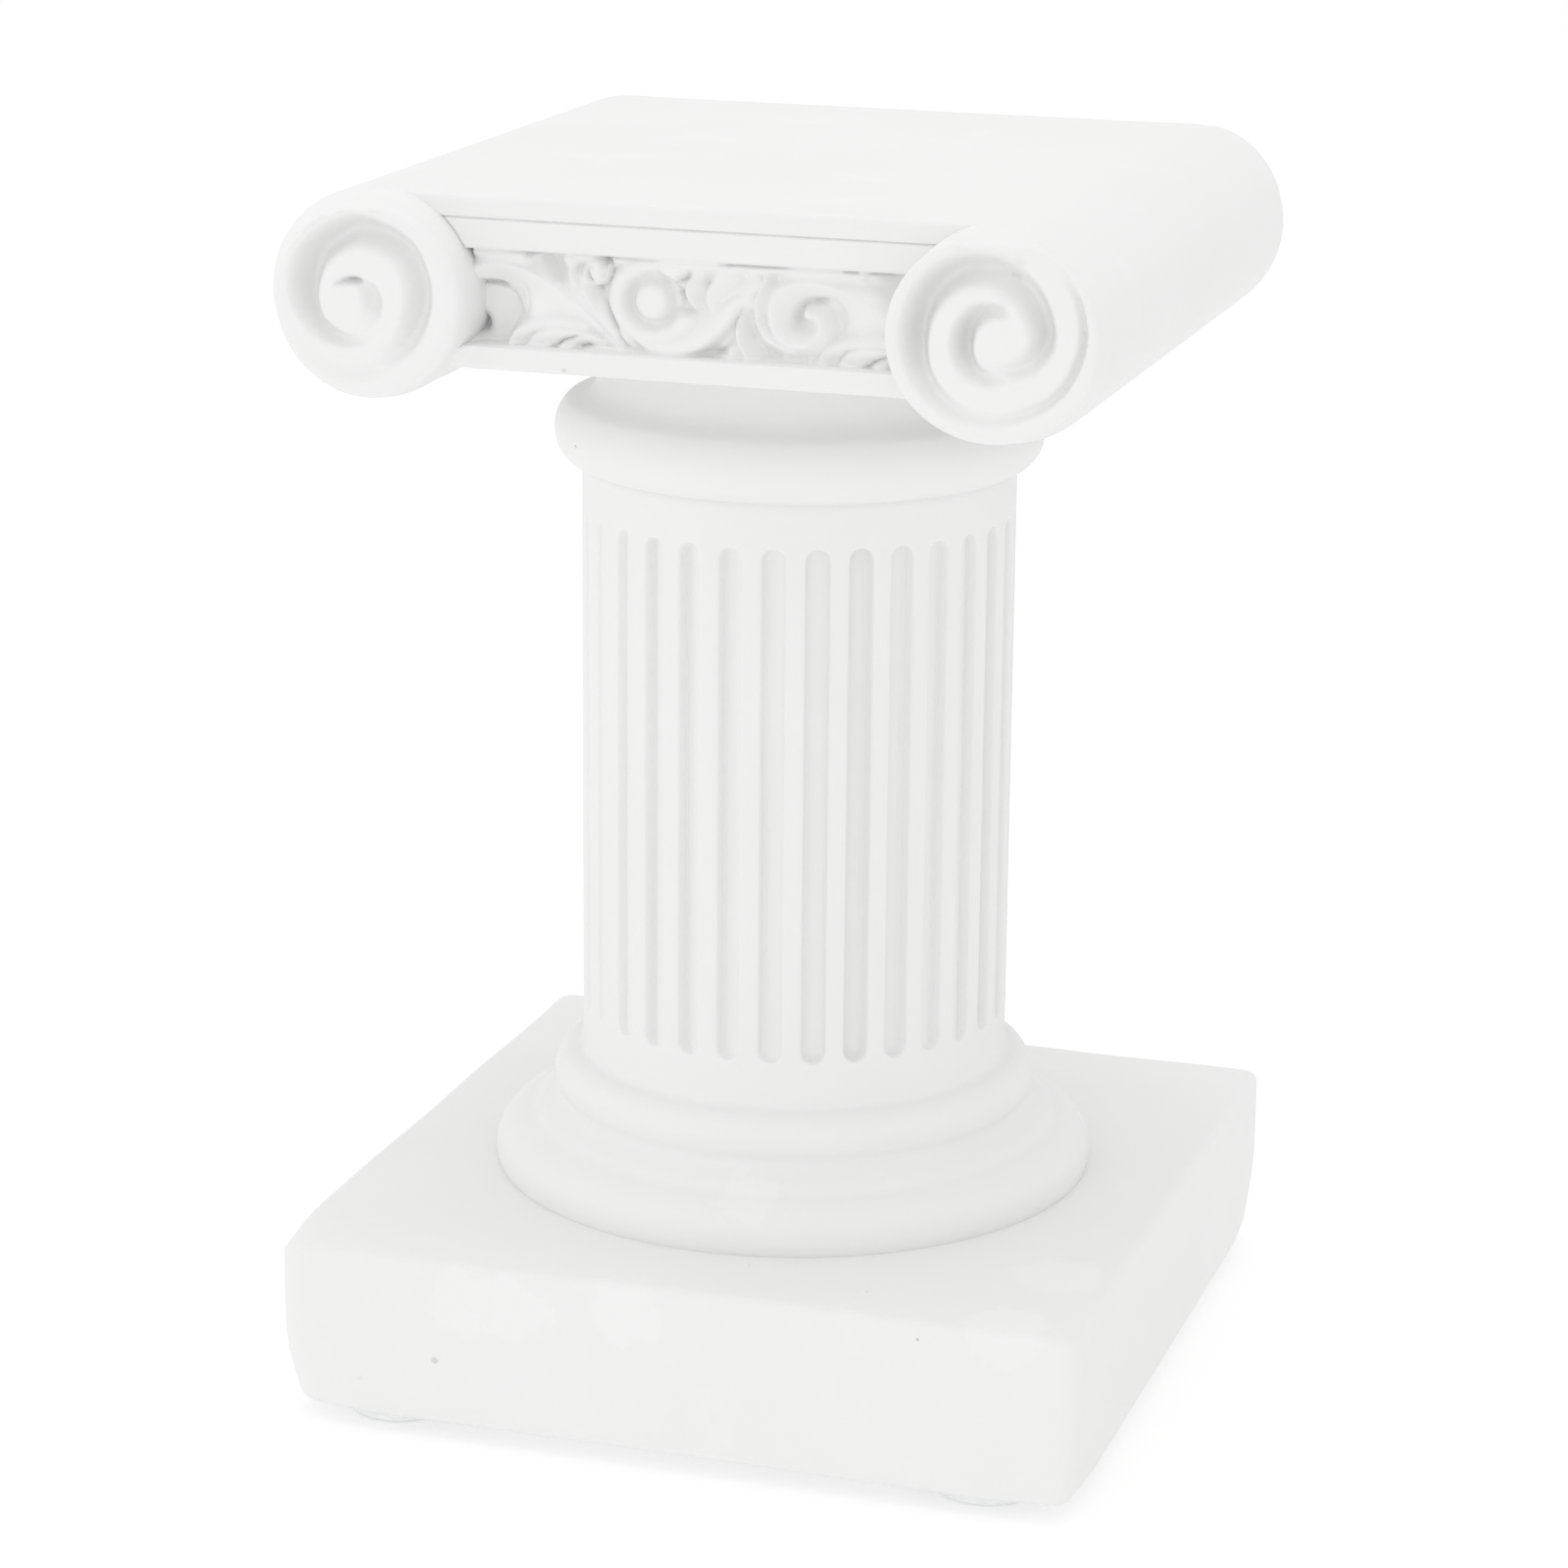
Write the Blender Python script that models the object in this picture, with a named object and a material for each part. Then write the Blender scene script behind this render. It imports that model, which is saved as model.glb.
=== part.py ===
"""Small Ionic column, cast in one piece, on four clear stick-on pads.

The casting is a thick square plinth, a turned base, a fluted shaft with a plain ring and neck,
and a capital: a flat slab whose two sides roll down into bolsters that end in spiral volutes,
with a carved frieze let into its front and its back.

+X runs along the front face to the right, -Y faces the viewer and +Z is up.
The origin is at the middle of the underside of the pads.
"""

import math

import bmesh
import bpy
import numpy as np

# Pads
PAD_DIAMETER = 0.0110
PAD_HEIGHT = 0.0013
PAD_EDGE_ROUND = 0.0004
PAD_INSET_SIDE = 0.0102
PAD_INSET_FRONT = 0.0076
TOUCH_GAP = 0.0003

# Plinth
PLINTH_WIDTH = 0.0804
PLINTH_DEPTH = 0.0802
PLINTH_THICKNESS = 0.0174
PLINTH_CORNER_RADIUS = 0.0014
PLINTH_WORN_CORNER_RADIUS = 0.0026
PLINTH_TOP_ROUND = 0.0010
PLINTH_FOOT_ROUND = 0.0008

# Turned base, from the plinth up
SHAFT_RADIUS = 0.0214
LOWER_TORUS_PROJECTION = 0.0089
LOWER_TORUS_HEIGHT = 0.0048
HOLLOW_HEIGHT = 0.0022
UPPER_TORUS_PROJECTION = 0.0029
UPPER_TORUS_HEIGHT = 0.0049

# Shaft and its flutes
SHAFT_LENGTH = 0.0602
FLUTE_COUNT = 32
FLUTE_WIDTH = 0.0024
FLUTE_DEPTH = 0.0009
FLUTE_TOP_MARGIN = 0.0043
FLUTE_FOOT_MARGIN = 0.0047

# Ring and neck
RING_PROJECTION = 0.0027
RING_HEIGHT = 0.0070
NECK_RADIUS = 0.0199
NECK_HEIGHT = 0.0069

# Capital
CAPITAL_WIDTH = 0.0802
CAPITAL_DEPTH = 0.0712
BOLSTER_RADIUS = 0.0097
UNDER_COVE_RADIUS = 0.0040
SLAB_EDGE_ROUND = 0.0003
TOP_BAND_HEIGHT = 0.0021
GROOVE_WIDTH = 0.0003
GROOVE_DEPTH = 0.0004
SECOND_BAND_HEIGHT = 0.0028
PANEL_HEIGHT = 0.0084
PANEL_RECESS = 0.0032
PANEL_END_SHARE = 0.72
FOOT_BAND_HEIGHT = 0.0025

# Volutes
VOLUTE_RADIUS = 0.0091
FULL_VOLUTE_RADIUS = 0.0094
VOLUTE_SPREAD = 0.0299
LEFT_VOLUTE_SHIFT = 0.0006
VOLUTE_PROJECTION = 0.0045
VOLUTE_RIM_ROUND = 0.0005
VOLUTE_TUCK = 0.0004
SPIRAL_START = 0.0021
SPIRAL_PITCH = 0.0035
SPIRAL_FIRST_ANGLE = math.radians(60)
SPIRAL_LAST_ANGLE = math.radians(705)
SPIRAL_WIDTH = 0.0023
SPIRAL_DEPTH = 0.0021

# Carving in the frieze
RELIEF_HEIGHT = 0.0026
FOLIAGE_PERIOD = 0.0298
STROKE_FEATHER = 1.3

# How finely the round parts are divided
TURNED_STEPS = 64
FLUTE_END_STEPS = 5
PAD_STEPS = 16
VOLUTE_STEPS = 36
SPIRAL_STEPS = 32
PANEL_COLUMNS = 64
PANEL_ROWS = 12
BACK_PANEL_COLUMNS = 32
BACK_PANEL_ROWS = 7
OVERLAP = 0.0030
SMOOTH_ANGLE = math.radians(35)

# Heights and places that follow from the sizes above
PLINTH_FOOT_Z = PAD_HEIGHT + TOUCH_GAP
PLINTH_TOP_Z = PLINTH_FOOT_Z + PLINTH_THICKNESS
HOLLOW_Z = PLINTH_TOP_Z + LOWER_TORUS_HEIGHT
UPPER_TORUS_Z = HOLLOW_Z + HOLLOW_HEIGHT
SHAFT_FOOT_Z = UPPER_TORUS_Z + UPPER_TORUS_HEIGHT
SHAFT_TOP_Z = SHAFT_FOOT_Z + SHAFT_LENGTH
NECK_FOOT_Z = SHAFT_TOP_Z + RING_HEIGHT
SLAB_FOOT_Z = NECK_FOOT_Z + NECK_HEIGHT
PANEL_FOOT_Z = SLAB_FOOT_Z + FOOT_BAND_HEIGHT
PANEL_TOP_Z = PANEL_FOOT_Z + PANEL_HEIGHT
GROOVE_Z = PANEL_TOP_Z + SECOND_BAND_HEIGHT
TOP_Z = GROOVE_Z + GROOVE_WIDTH + TOP_BAND_HEIGHT
BOLSTER_X = CAPITAL_WIDTH / 2 - BOLSTER_RADIUS
BOLSTER_Z = TOP_Z - BOLSTER_RADIUS


def clear_scene():
    """Remove every object that the file opened with."""
    for item in list(bpy.data.objects):
        bpy.data.objects.remove(item, do_unlink=True)


def material(name, colour, roughness):
    """Plain material with a colour and a roughness."""
    made = bpy.data.materials.new(name)
    made.use_nodes = True
    shader = made.node_tree.nodes["Principled BSDF"]
    shader.inputs["Base Color"].default_value = (*colour, 1.0)
    shader.inputs["Roughness"].default_value = roughness
    shader.inputs["Metallic"].default_value = 0.0
    return made


def add_object(name, vertices, faces, finish=None, smooth=True):
    """Object from points and faces, with its normals outwards and its round sides smooth."""
    mesh = bpy.data.meshes.new(name)
    mesh.from_pydata([tuple(point) for point in vertices], [], faces)
    form = bmesh.new()
    form.from_mesh(mesh)
    bmesh.ops.recalc_face_normals(form, faces=form.faces)
    form.to_mesh(mesh)
    form.free()
    mesh.polygons.foreach_set("use_smooth", [smooth and len(face) < 5 for face in faces])
    mesh.set_sharp_from_angle(angle=SMOOTH_ANGLE)
    made = bpy.data.objects.new(name, mesh)
    bpy.context.scene.collection.objects.link(made)
    if finish is not None:
        mesh.materials.append(finish)
    return made


def as_helper(item):
    """Mark an object as one that only shapes another."""
    item.hide_render = True
    item.display_type = "WIRE"
    return item


def combine(item, helper, operation):
    """Join a helper to an object, or cut it away."""
    step = item.modifiers.new(helper.name, "BOOLEAN")
    step.operation = operation
    step.solver = "EXACT"
    step.object = helper


def skin_rings(rings, first=0):
    """Faces between rings with the same number of points, and a flat face at each end."""
    count = len(rings[0])
    faces = []
    for ring in range(len(rings) - 1):
        low = first + ring * count
        high = low + count
        for step in range(count):
            after = (step + 1) % count
            faces.append((low + step, low + after, high + after, high + step))
    last = first + (len(rings) - 1) * count
    faces.append(tuple(first + step for step in reversed(range(count))))
    faces.append(tuple(last + step for step in range(count)))
    return faces


def ring_solid(name, rings, finish=None):
    """Closed body through a row of rings."""
    return add_object(name, np.concatenate(rings), skin_rings(rings), finish)


def quarter_round(radius, steps):
    """Pairs (how far in, how far along) down a quarter circle, from the flat to the side."""
    angles = np.linspace(0, math.pi / 2, steps + 1)
    return [(radius * (1 - math.sin(angle)), radius * (1 - math.cos(angle))) for angle in angles]


def turned_rings(profile, steps):
    """Rings of points round the Z axis, one for each (radius, height) of a profile."""
    angles = np.arange(steps) * 2 * math.pi / steps
    return [
        np.stack([radius * np.cos(angles), radius * np.sin(angles), np.full(steps, height)], axis=1)
        for radius, height in profile
    ]


def bulge(projection, foot, height, angles):
    """Profile of a torus: a half ellipse that stands out from the shaft, at the given angles."""
    return [
        (SHAFT_RADIUS + projection * math.cos(angle), foot + height * (1 + math.sin(angle)) / 2)
        for angle in np.radians(angles)
    ]


def core_profile():
    """Outline of everything that is turned, from inside the plinth to inside the slab."""
    wide = SHAFT_RADIUS + LOWER_TORUS_PROJECTION
    upper = SHAFT_RADIUS + UPPER_TORUS_PROJECTION
    step_out = wide - upper
    profile = [(wide - 0.10 * step_out, PLINTH_TOP_Z - OVERLAP)]
    lower_torus = ((0.10, 0.00), (0.00, 0.30), (0.14, 0.70), (0.50, 1.00))
    hollow = ((0.72, 0.36), (0.95, 0.86))
    for inward, share in lower_torus:
        profile.append((wide - inward * step_out, PLINTH_TOP_Z + share * LOWER_TORUS_HEIGHT))
    for inward, share in hollow:
        profile.append((wide - inward * step_out, HOLLOW_Z + share * HOLLOW_HEIGHT))
    profile += bulge(UPPER_TORUS_PROJECTION, UPPER_TORUS_Z, UPPER_TORUS_HEIGHT, (-20, 18, 56))
    profile += [(SHAFT_RADIUS, SHAFT_FOOT_Z), (SHAFT_RADIUS, SHAFT_TOP_Z)]
    profile += bulge(RING_PROJECTION, SHAFT_TOP_Z, RING_HEIGHT, (-66, -36, -4, 28, 62))
    profile += [(NECK_RADIUS, NECK_FOOT_Z), (NECK_RADIUS, SLAB_FOOT_Z + OVERLAP)]
    return profile


def rounded_corner(centre_x, centre_y, radius, start, steps=4):
    """Points along a quarter circle, counter-clockwise from a start angle in degrees."""
    angles = np.radians(np.linspace(start, start + 90, steps + 1))
    return np.stack([centre_x + radius * np.cos(angles), centre_y + radius * np.sin(angles)], axis=1)


def plinth_ring(height, inset):
    """Outline of the plinth at a height, drawn in by an inset, with one corner worn rounder."""
    half_x = PLINTH_WIDTH / 2
    half_y = PLINTH_DEPTH / 2
    corners = []
    for side_x, side_y, start in ((1, 1, 0), (-1, 1, 90), (-1, -1, 180), (1, -1, 270)):
        worn = side_x < 0 and side_y < 0
        radius = PLINTH_WORN_CORNER_RADIUS if worn else PLINTH_CORNER_RADIUS
        centre_x = side_x * (half_x - radius)
        centre_y = side_y * (half_y - radius)
        tight = max(radius - inset, radius / 4)
        shift = radius - inset - tight
        centre_x += side_x * shift
        centre_y += side_y * shift
        corners.append(rounded_corner(centre_x, centre_y, tight, start))
    outline = np.concatenate(corners)
    return np.column_stack([outline, np.full(len(outline), height)])


def add_plinth():
    """Square block with soft top edges and a rounder foot."""
    foot = quarter_round(PLINTH_FOOT_ROUND, 2)
    top = quarter_round(PLINTH_TOP_ROUND, 2)
    rings = [plinth_ring(PLINTH_FOOT_Z + up, inset) for inset, up in foot]
    rings += [plinth_ring(PLINTH_TOP_Z - down, inset) for inset, down in reversed(top)]
    return as_helper(ring_solid("plinth_form", rings))


def add_flute_cutters():
    """Upright slots with round ends, one in front and the rest evenly round the shaft."""
    half = FLUTE_WIDTH / 2
    foot = SHAFT_FOOT_Z + FLUTE_FOOT_MARGIN + half
    top = SHAFT_TOP_Z - FLUTE_TOP_MARGIN - half
    arch = np.linspace(0, math.pi, FLUTE_END_STEPS + 1)
    across = np.concatenate([half * np.cos(arch), -half * np.cos(arch)])
    upward = np.concatenate([top + half * np.sin(arch), foot - half * np.sin(arch)])
    vertices = []
    faces = []
    for flute in range(FLUTE_COUNT):
        turn = 2 * math.pi * flute / FLUTE_COUNT - math.pi / 2
        outward = np.array([math.cos(turn), math.sin(turn), 0.0])
        sideways = np.array([-math.sin(turn), math.cos(turn), 0.0])
        slot = across[:, None] * sideways + upward[:, None] * np.array([0.0, 0.0, 1.0])
        floor = SHAFT_RADIUS - FLUTE_DEPTH
        rings = [slot + floor * outward, slot + (SHAFT_RADIUS + OVERLAP) * outward]
        faces += skin_rings(rings, first=sum(len(ring) for ring in vertices))
        vertices += rings
    return as_helper(add_object("flute_cutters", np.concatenate(vertices), faces, smooth=False))


def slab_outline(inset):
    """Front view of the slab and its bolsters, drawn in by an inset, counter-clockwise.

    The flat top runs into a half circle on each side. Below, each circle meets the flat
    underside in a cove, which touches both.
    """
    radius = BOLSTER_RADIUS - inset
    cove = UNDER_COVE_RADIUS + inset
    foot = SLAB_FOOT_Z + inset
    reach = radius + cove
    drop = BOLSTER_Z - (foot - cove)
    tilt = math.asin(drop / reach)
    cove_x = BOLSTER_X - reach * math.cos(tilt)
    cove_z = foot - cove
    roll = np.linspace(math.pi / 2, -math.pi + tilt, 18)
    hollow = np.linspace(tilt, math.pi / 2, 5)[1:]
    right = [
        (BOLSTER_X + radius * math.cos(angle), BOLSTER_Z + radius * math.sin(angle))
        for angle in roll
    ]
    right += [(cove_x + cove * math.cos(angle), cove_z + cove * math.sin(angle)) for angle in hollow]
    left = [(-x, z) for x, z in reversed(right)]
    return np.array(right + left)


def add_slab():
    """Slab and bolsters as one long form with slightly rounded ends."""
    half = CAPITAL_DEPTH / 2
    rings = []
    for side in (-1, 1):
        ends = quarter_round(SLAB_EDGE_ROUND, 1)
        for inset, inward in ends if side < 0 else reversed(ends):
            outline = slab_outline(inset)
            depth = np.full(len(outline), side * (half - inward))
            rings.append(np.column_stack([outline[:, 0], depth, outline[:, 1]]))
    return as_helper(ring_solid("capital_form", rings))


def volute_rings(centre_x, radius, side_x, side_y):
    """Rings of one volute, from its buried end out along the wall to the flat face."""
    angles = np.arange(VOLUTE_STEPS) * 2 * math.pi / VOLUTE_STEPS
    plane = CAPITAL_DEPTH / 2
    face = plane + VOLUTE_PROJECTION
    places = [(radius - VOLUTE_TUCK, plane - PANEL_RECESS - OVERLAP / 2), (radius, plane)]
    for inset, inward in reversed(quarter_round(VOLUTE_RIM_ROUND, 2)):
        places.append((radius - inset, face - inward))
    return [
        np.stack([side_x * (centre_x + around * np.cos(angles)),
                  np.full(VOLUTE_STEPS, side_y * reach),
                  BOLSTER_Z + around * np.sin(angles)], axis=1)
        for around, reach in places
    ]


def spiral_rings(centre_x, radius, side_x, side_y):
    """Rings along the groove of one volute, which winds out from the eye.

    Its radius grows by one pitch a turn. It is widest and deepest midway, thin at both ends
    and has soft shoulders.
    """
    angles = np.linspace(SPIRAL_FIRST_ANGLE, SPIRAL_LAST_ANGLE, SPIRAL_STEPS)
    scale = radius / VOLUTE_RADIUS
    course = scale * (SPIRAL_START + SPIRAL_PITCH * (angles - SPIRAL_FIRST_ANGLE) / (2 * math.pi))
    half = scale * SPIRAL_WIDTH / 2 * taper(0.45, 1.0, 0.25, SPIRAL_STEPS)
    depth = SPIRAL_DEPTH * taper(0.5, 1.0, 0.35, SPIRAL_STEPS)
    face = CAPITAL_DEPTH / 2 + VOLUTE_PROJECTION
    section = ((-1.5, -0.4), (-0.95, 0.25), (-0.45, 1.0), (0.45, 1.0), (0.95, 0.25), (1.5, -0.4))
    rings = []
    for angle, middle, width, down in zip(angles, course, half, depth):
        around = [middle + across * width for across, _ in section]
        rings.append(np.array([
            (side_x * (centre_x + reach * math.cos(angle)), side_y * (face - share * down),
             BOLSTER_Z + reach * math.sin(angle))
            for reach, (_, share) in zip(around, section)
        ]))
    return rings


def on_each_volute(name, shape, smooth):
    """One helper with a shape on each end of both bolsters; the front right one is fuller."""
    vertices = []
    faces = []
    for side_x in (-1, 1):
        for side_y in (-1, 1):
            full = side_x > 0 and side_y < 0
            shifted = side_x < 0 and side_y < 0
            radius = FULL_VOLUTE_RADIUS if full else VOLUTE_RADIUS
            centre_x = VOLUTE_SPREAD - (LEFT_VOLUTE_SHIFT if shifted else 0.0)
            rings = shape(centre_x, radius, side_x, side_y)
            faces += skin_rings(rings, first=sum(len(ring) for ring in vertices))
            vertices += rings
    return as_helper(add_object(name, np.concatenate(vertices), faces, smooth=smooth))


def scroll_line(centre, outer, inner, start, sweep, hook=1.6, steps=90):
    """Points of a scroll that winds in from an outer to an inner radius.

    Its radius falls with the share of the sweep that is left, raised to the power called hook.
    """
    share = np.linspace(0, 1, steps)
    radius = inner + (outer - inner) * (1 - share) ** hook
    angle = np.radians(start + sweep * share)
    return np.stack([centre[0] + radius * np.cos(angle), centre[1] + radius * np.sin(angle)], axis=1)


def bow_line(first, control, last, steps=40):
    """Points of a quadratic curve from first to last that leans towards a control point."""
    share = np.linspace(0, 1, steps)[:, None]
    first, control, last = (np.array(point) for point in (first, control, last))
    return (1 - share) ** 2 * first + 2 * share * (1 - share) * control + share**2 * last


def taper(low, middle, high, steps):
    """Values that go smoothly through low, middle and high along a line."""
    share = np.linspace(0, 1, steps)
    return low * (1 - share) ** 2 + (4 * middle - low - high) * share * (1 - share) + high * share**2


def foliage():
    """Strokes of the running scroll, as (line, half widths), in metres from the panel's middle.

    A scroll that opens downwards, with its stem and leaves, stands on each side, a period
    apart, and one that opens upwards lies between them.
    """
    unit = PANEL_HEIGHT
    period = FOLIAGE_PERIOD / unit
    strokes = []
    for shift in (-period, 0.0):
        strokes += [
            (scroll_line((1.33 + shift, 0.0), 0.37, 0.05, 70, 340, 0.45), taper(0.14, 0.17, 0.14, 90)),
            (bow_line((1.45 + shift, 0.33), (1.95 + shift, 0.30), (2.80 + shift, -0.46)),
             taper(0.15, 0.20, 0.12, 40)),
            (bow_line((2.70 + shift, -0.42), (2.02 + shift, 0.0), (1.60 + shift, -0.45)),
             taper(0.08, 0.17, 0.11, 40)),
            (bow_line((2.50 + shift, -0.46), (2.15 + shift, -0.22), (1.94 + shift, -0.48)),
             taper(0.06, 0.12, 0.09, 40)),
        ]
    strokes += [
        (scroll_line((-0.38, 0.07), 0.96, 0.40, 2, -200, 2.2), taper(0.08, 0.26, 0.15, 90)),
        (scroll_line((-0.38, 0.07), 0.40, 0.05, 162, -220, 0.7), taper(0.15, 0.13, 0.17, 90)),
        (bow_line((-0.66, -0.47), (-1.02, -0.10), (-1.19, 0.25)), taper(0.09, 0.12, 0.10, 40)),
        (scroll_line((-1.05, 0.30), 0.15, 0.03, 190, -330), taper(0.10, 0.10, 0.09, 90)),
        (bow_line((0.72, 0.32), (0.42, 0.30), (0.30, 0.05)), taper(0.08, 0.14, 0.09, 40)),
        (bow_line((0.36, 0.42), (0.14, 0.40), (0.08, 0.12)), taper(0.07, 0.11, 0.08, 40)),
        (bow_line((-0.28, 0.44), (-0.14, 0.34), (0.02, 0.42)), taper(0.09, 0.12, 0.09, 40)),
        (bow_line((0.90, 0.36), (0.60, -0.02), (1.02, -0.36)), taper(0.08, 0.09, 0.08, 40)),
        (bow_line((0.74, 0.20), (0.43, -0.18), (0.70, -0.50)), taper(0.08, 0.09, 0.08, 40)),
    ]
    return [(line * unit, widths * unit) for line, widths in strokes]


def plain_scrolls():
    """Strokes of the back panel: two scrolls that face each other on one long stem."""
    unit = PANEL_HEIGHT
    strokes = [(bow_line((-0.5, -0.35), (0.0, -0.52), (0.5, -0.35)), taper(0.12, 0.18, 0.12, 40))]
    for side in (-1, 1):
        line = scroll_line((1.25, 0.0), 1.05, 0.07, 200, 500)
        strokes.append((line * np.array([side, 1.0]), taper(0.13, 0.20, 0.13, 90)))
    return [(line * unit, widths * unit) for line, widths in strokes]


def relief(x, z, strokes):
    """Share of the full relief at each point.

    Every stroke has a round back and feathered sides, and where strokes meet the highest counts.
    """
    level = np.zeros_like(x)
    for line, widths in strokes:
        gap = np.hypot(x[..., None] - line[:, 0], z[..., None] - line[:, 1])
        share = np.clip(gap.min(axis=-1) / (STROKE_FEATHER * widths[gap.argmin(axis=-1)]), 0, 1)
        level = np.maximum(level, (1 - share**2) ** 1.5)
    return level


def panel_cutter(name, side_y, columns, rows, strokes):
    """Recess of one panel: a box whose inner side carries the carving.

    Its ends lie inside the volutes, which close the panel. Each point takes the mean of nine
    samples that lie a third of a step apart.
    """
    reach = VOLUTE_SPREAD - PANEL_END_SHARE * VOLUTE_RADIUS
    plane = CAPITAL_DEPTH / 2
    places = np.linspace(-reach, reach, columns + 1)
    heights = np.linspace(PANEL_FOOT_Z, PANEL_TOP_Z, rows + 1)
    x, z = np.meshgrid(places, heights)
    aside = (places[1] - places[0]) / 3
    above = (heights[1] - heights[0]) / 3
    centre = (PANEL_FOOT_Z + PANEL_TOP_Z) / 2
    level = np.mean([
        relief(x + right * aside, z - centre + up * above, strokes)
        for right in (-1, 0, 1) for up in (-1, 0, 1)
    ], axis=0)
    depth = plane - PANEL_RECESS + RELIEF_HEIGHT * level
    inner = np.stack([-side_y * x, side_y * depth, z], axis=-1).reshape(-1, 3)
    outer_y = side_y * (plane + OVERLAP)
    corners = [(-side_y * sx * reach, outer_y, height) for sx, height in
               ((-1, PANEL_FOOT_Z), (1, PANEL_FOOT_Z), (1, PANEL_TOP_Z), (-1, PANEL_TOP_Z))]
    width = columns + 1
    faces = []
    for row in range(rows):
        for column in range(columns):
            low = row * width + column
            faces.append((low, low + 1, low + width + 1, low + width))
    first = len(inner)
    foot_row = list(range(width))
    top_row = [rows * width + column for column in range(width)]
    left_side = [row * width for row in range(rows + 1)]
    right_side = [row * width + columns for row in range(rows + 1)]
    faces.append((first, first + 1, first + 2, first + 3))
    faces.append(tuple(foot_row + [first + 1, first]))
    faces.append(tuple(top_row + [first + 2, first + 3]))
    faces.append(tuple(left_side + [first + 3, first]))
    faces.append(tuple(right_side + [first + 2, first + 1]))
    return as_helper(add_object(name, np.concatenate([inner, corners]), faces))


def groove_cutter(side_y):
    """Thin line cut along the slab between its two top bands."""
    reach = VOLUTE_SPREAD - VOLUTE_RADIUS / 2
    near = side_y * (CAPITAL_DEPTH / 2 - GROOVE_DEPTH)
    far = side_y * (CAPITAL_DEPTH / 2 + OVERLAP)
    top = GROOVE_Z + GROOVE_WIDTH
    rings = [
        np.array([(x, near, GROOVE_Z), (x, far, GROOVE_Z), (x, far, top), (x, near, top)])
        for x in (-reach, reach)
    ]
    return as_helper(ring_solid("groove_cutter_" + ("back" if side_y > 0 else "front"), rings))


def add_column(finish):
    """The whole casting: a turned core that the plinth, the flutes and the capital shape."""
    slab = add_slab()
    front = panel_cutter("front_panel", -1, PANEL_COLUMNS, PANEL_ROWS, foliage())
    back = panel_cutter("back_panel", 1, BACK_PANEL_COLUMNS, BACK_PANEL_ROWS, plain_scrolls())
    combine(slab, front, "DIFFERENCE")
    combine(slab, back, "DIFFERENCE")
    combine(slab, groove_cutter(-1), "DIFFERENCE")
    combine(slab, groove_cutter(1), "DIFFERENCE")
    combine(slab, on_each_volute("volute_forms", volute_rings, True), "UNION")
    combine(slab, on_each_volute("spiral_cutters", spiral_rings, False), "DIFFERENCE")
    column = ring_solid("column", turned_rings(core_profile(), TURNED_STEPS), finish)
    combine(column, add_flute_cutters(), "DIFFERENCE")
    combine(column, add_plinth(), "UNION")
    combine(column, slab, "UNION")
    return column


def add_pad(name, x, y, finish):
    """Low round pad with rounded edges."""
    radius = PAD_DIAMETER / 2
    profile = [(radius - inset, up) for inset, up in quarter_round(PAD_EDGE_ROUND, 1)]
    profile.append((radius, PAD_HEIGHT))
    rings = turned_rings(profile, PAD_STEPS)
    pad = ring_solid(name, rings, finish)
    pad.location = (x, y, 0.0)
    return pad


def add_pads(finish):
    """Four pads, one near each corner of the plinth."""
    reach_x = PLINTH_WIDTH / 2 - PAD_INSET_SIDE
    reach_y = PLINTH_DEPTH / 2 - PAD_INSET_FRONT
    for depth_name, side_y in (("front", -1), ("back", 1)):
        for side_name, side_x in (("left", -1), ("right", 1)):
            name = f"pad_{depth_name}_{side_name}"
            add_pad(name, side_x * reach_x, side_y * reach_y, finish)


def main():
    """Build the column and its pads."""
    clear_scene()
    casting = material("cast_white", (0.82, 0.81, 0.79), 0.62)
    clear_pad = material("clear_pad", (0.78, 0.80, 0.80), 0.25)
    add_column(casting)
    add_pads(clear_pad)


main()
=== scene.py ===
"""Looks of a small white Ionic column, cast in one piece, on four clear stick-on pads.

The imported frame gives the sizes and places. Every piece is a surface worked out with numpy, in
millimetres, and written into its mesh in metres. +X runs along the front face to the right,
-Y faces the viewer and +Z is up.
"""

import copy
import math

import bmesh
import bpy
import numpy as np
from bpy.props import FloatProperty, FloatVectorProperty, IntProperty, PointerProperty
from mathutils import Matrix, Vector


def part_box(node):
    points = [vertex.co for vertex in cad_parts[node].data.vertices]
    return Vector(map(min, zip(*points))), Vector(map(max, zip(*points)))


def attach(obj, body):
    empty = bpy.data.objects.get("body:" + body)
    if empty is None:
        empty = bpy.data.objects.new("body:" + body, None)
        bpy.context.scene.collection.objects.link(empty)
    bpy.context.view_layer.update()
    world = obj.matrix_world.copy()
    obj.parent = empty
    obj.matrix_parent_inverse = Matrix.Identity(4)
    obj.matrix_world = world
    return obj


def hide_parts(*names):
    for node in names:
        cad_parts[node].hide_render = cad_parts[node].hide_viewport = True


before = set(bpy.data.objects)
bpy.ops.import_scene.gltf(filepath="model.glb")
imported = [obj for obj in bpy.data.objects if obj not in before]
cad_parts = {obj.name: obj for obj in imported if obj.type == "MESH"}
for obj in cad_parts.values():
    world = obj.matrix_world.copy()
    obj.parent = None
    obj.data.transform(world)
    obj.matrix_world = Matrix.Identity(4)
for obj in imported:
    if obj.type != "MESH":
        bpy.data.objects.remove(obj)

bl_info = {
    "name": "Cast Ionic Column",
    "version": (1, 0, 0),
    "blender": (4, 5, 0),
    "location": "3D View > Sidebar > Column",
    "description": "Builds a white cast Ionic column with its pads, finishes and stage",
    "category": "Object",
}

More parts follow.
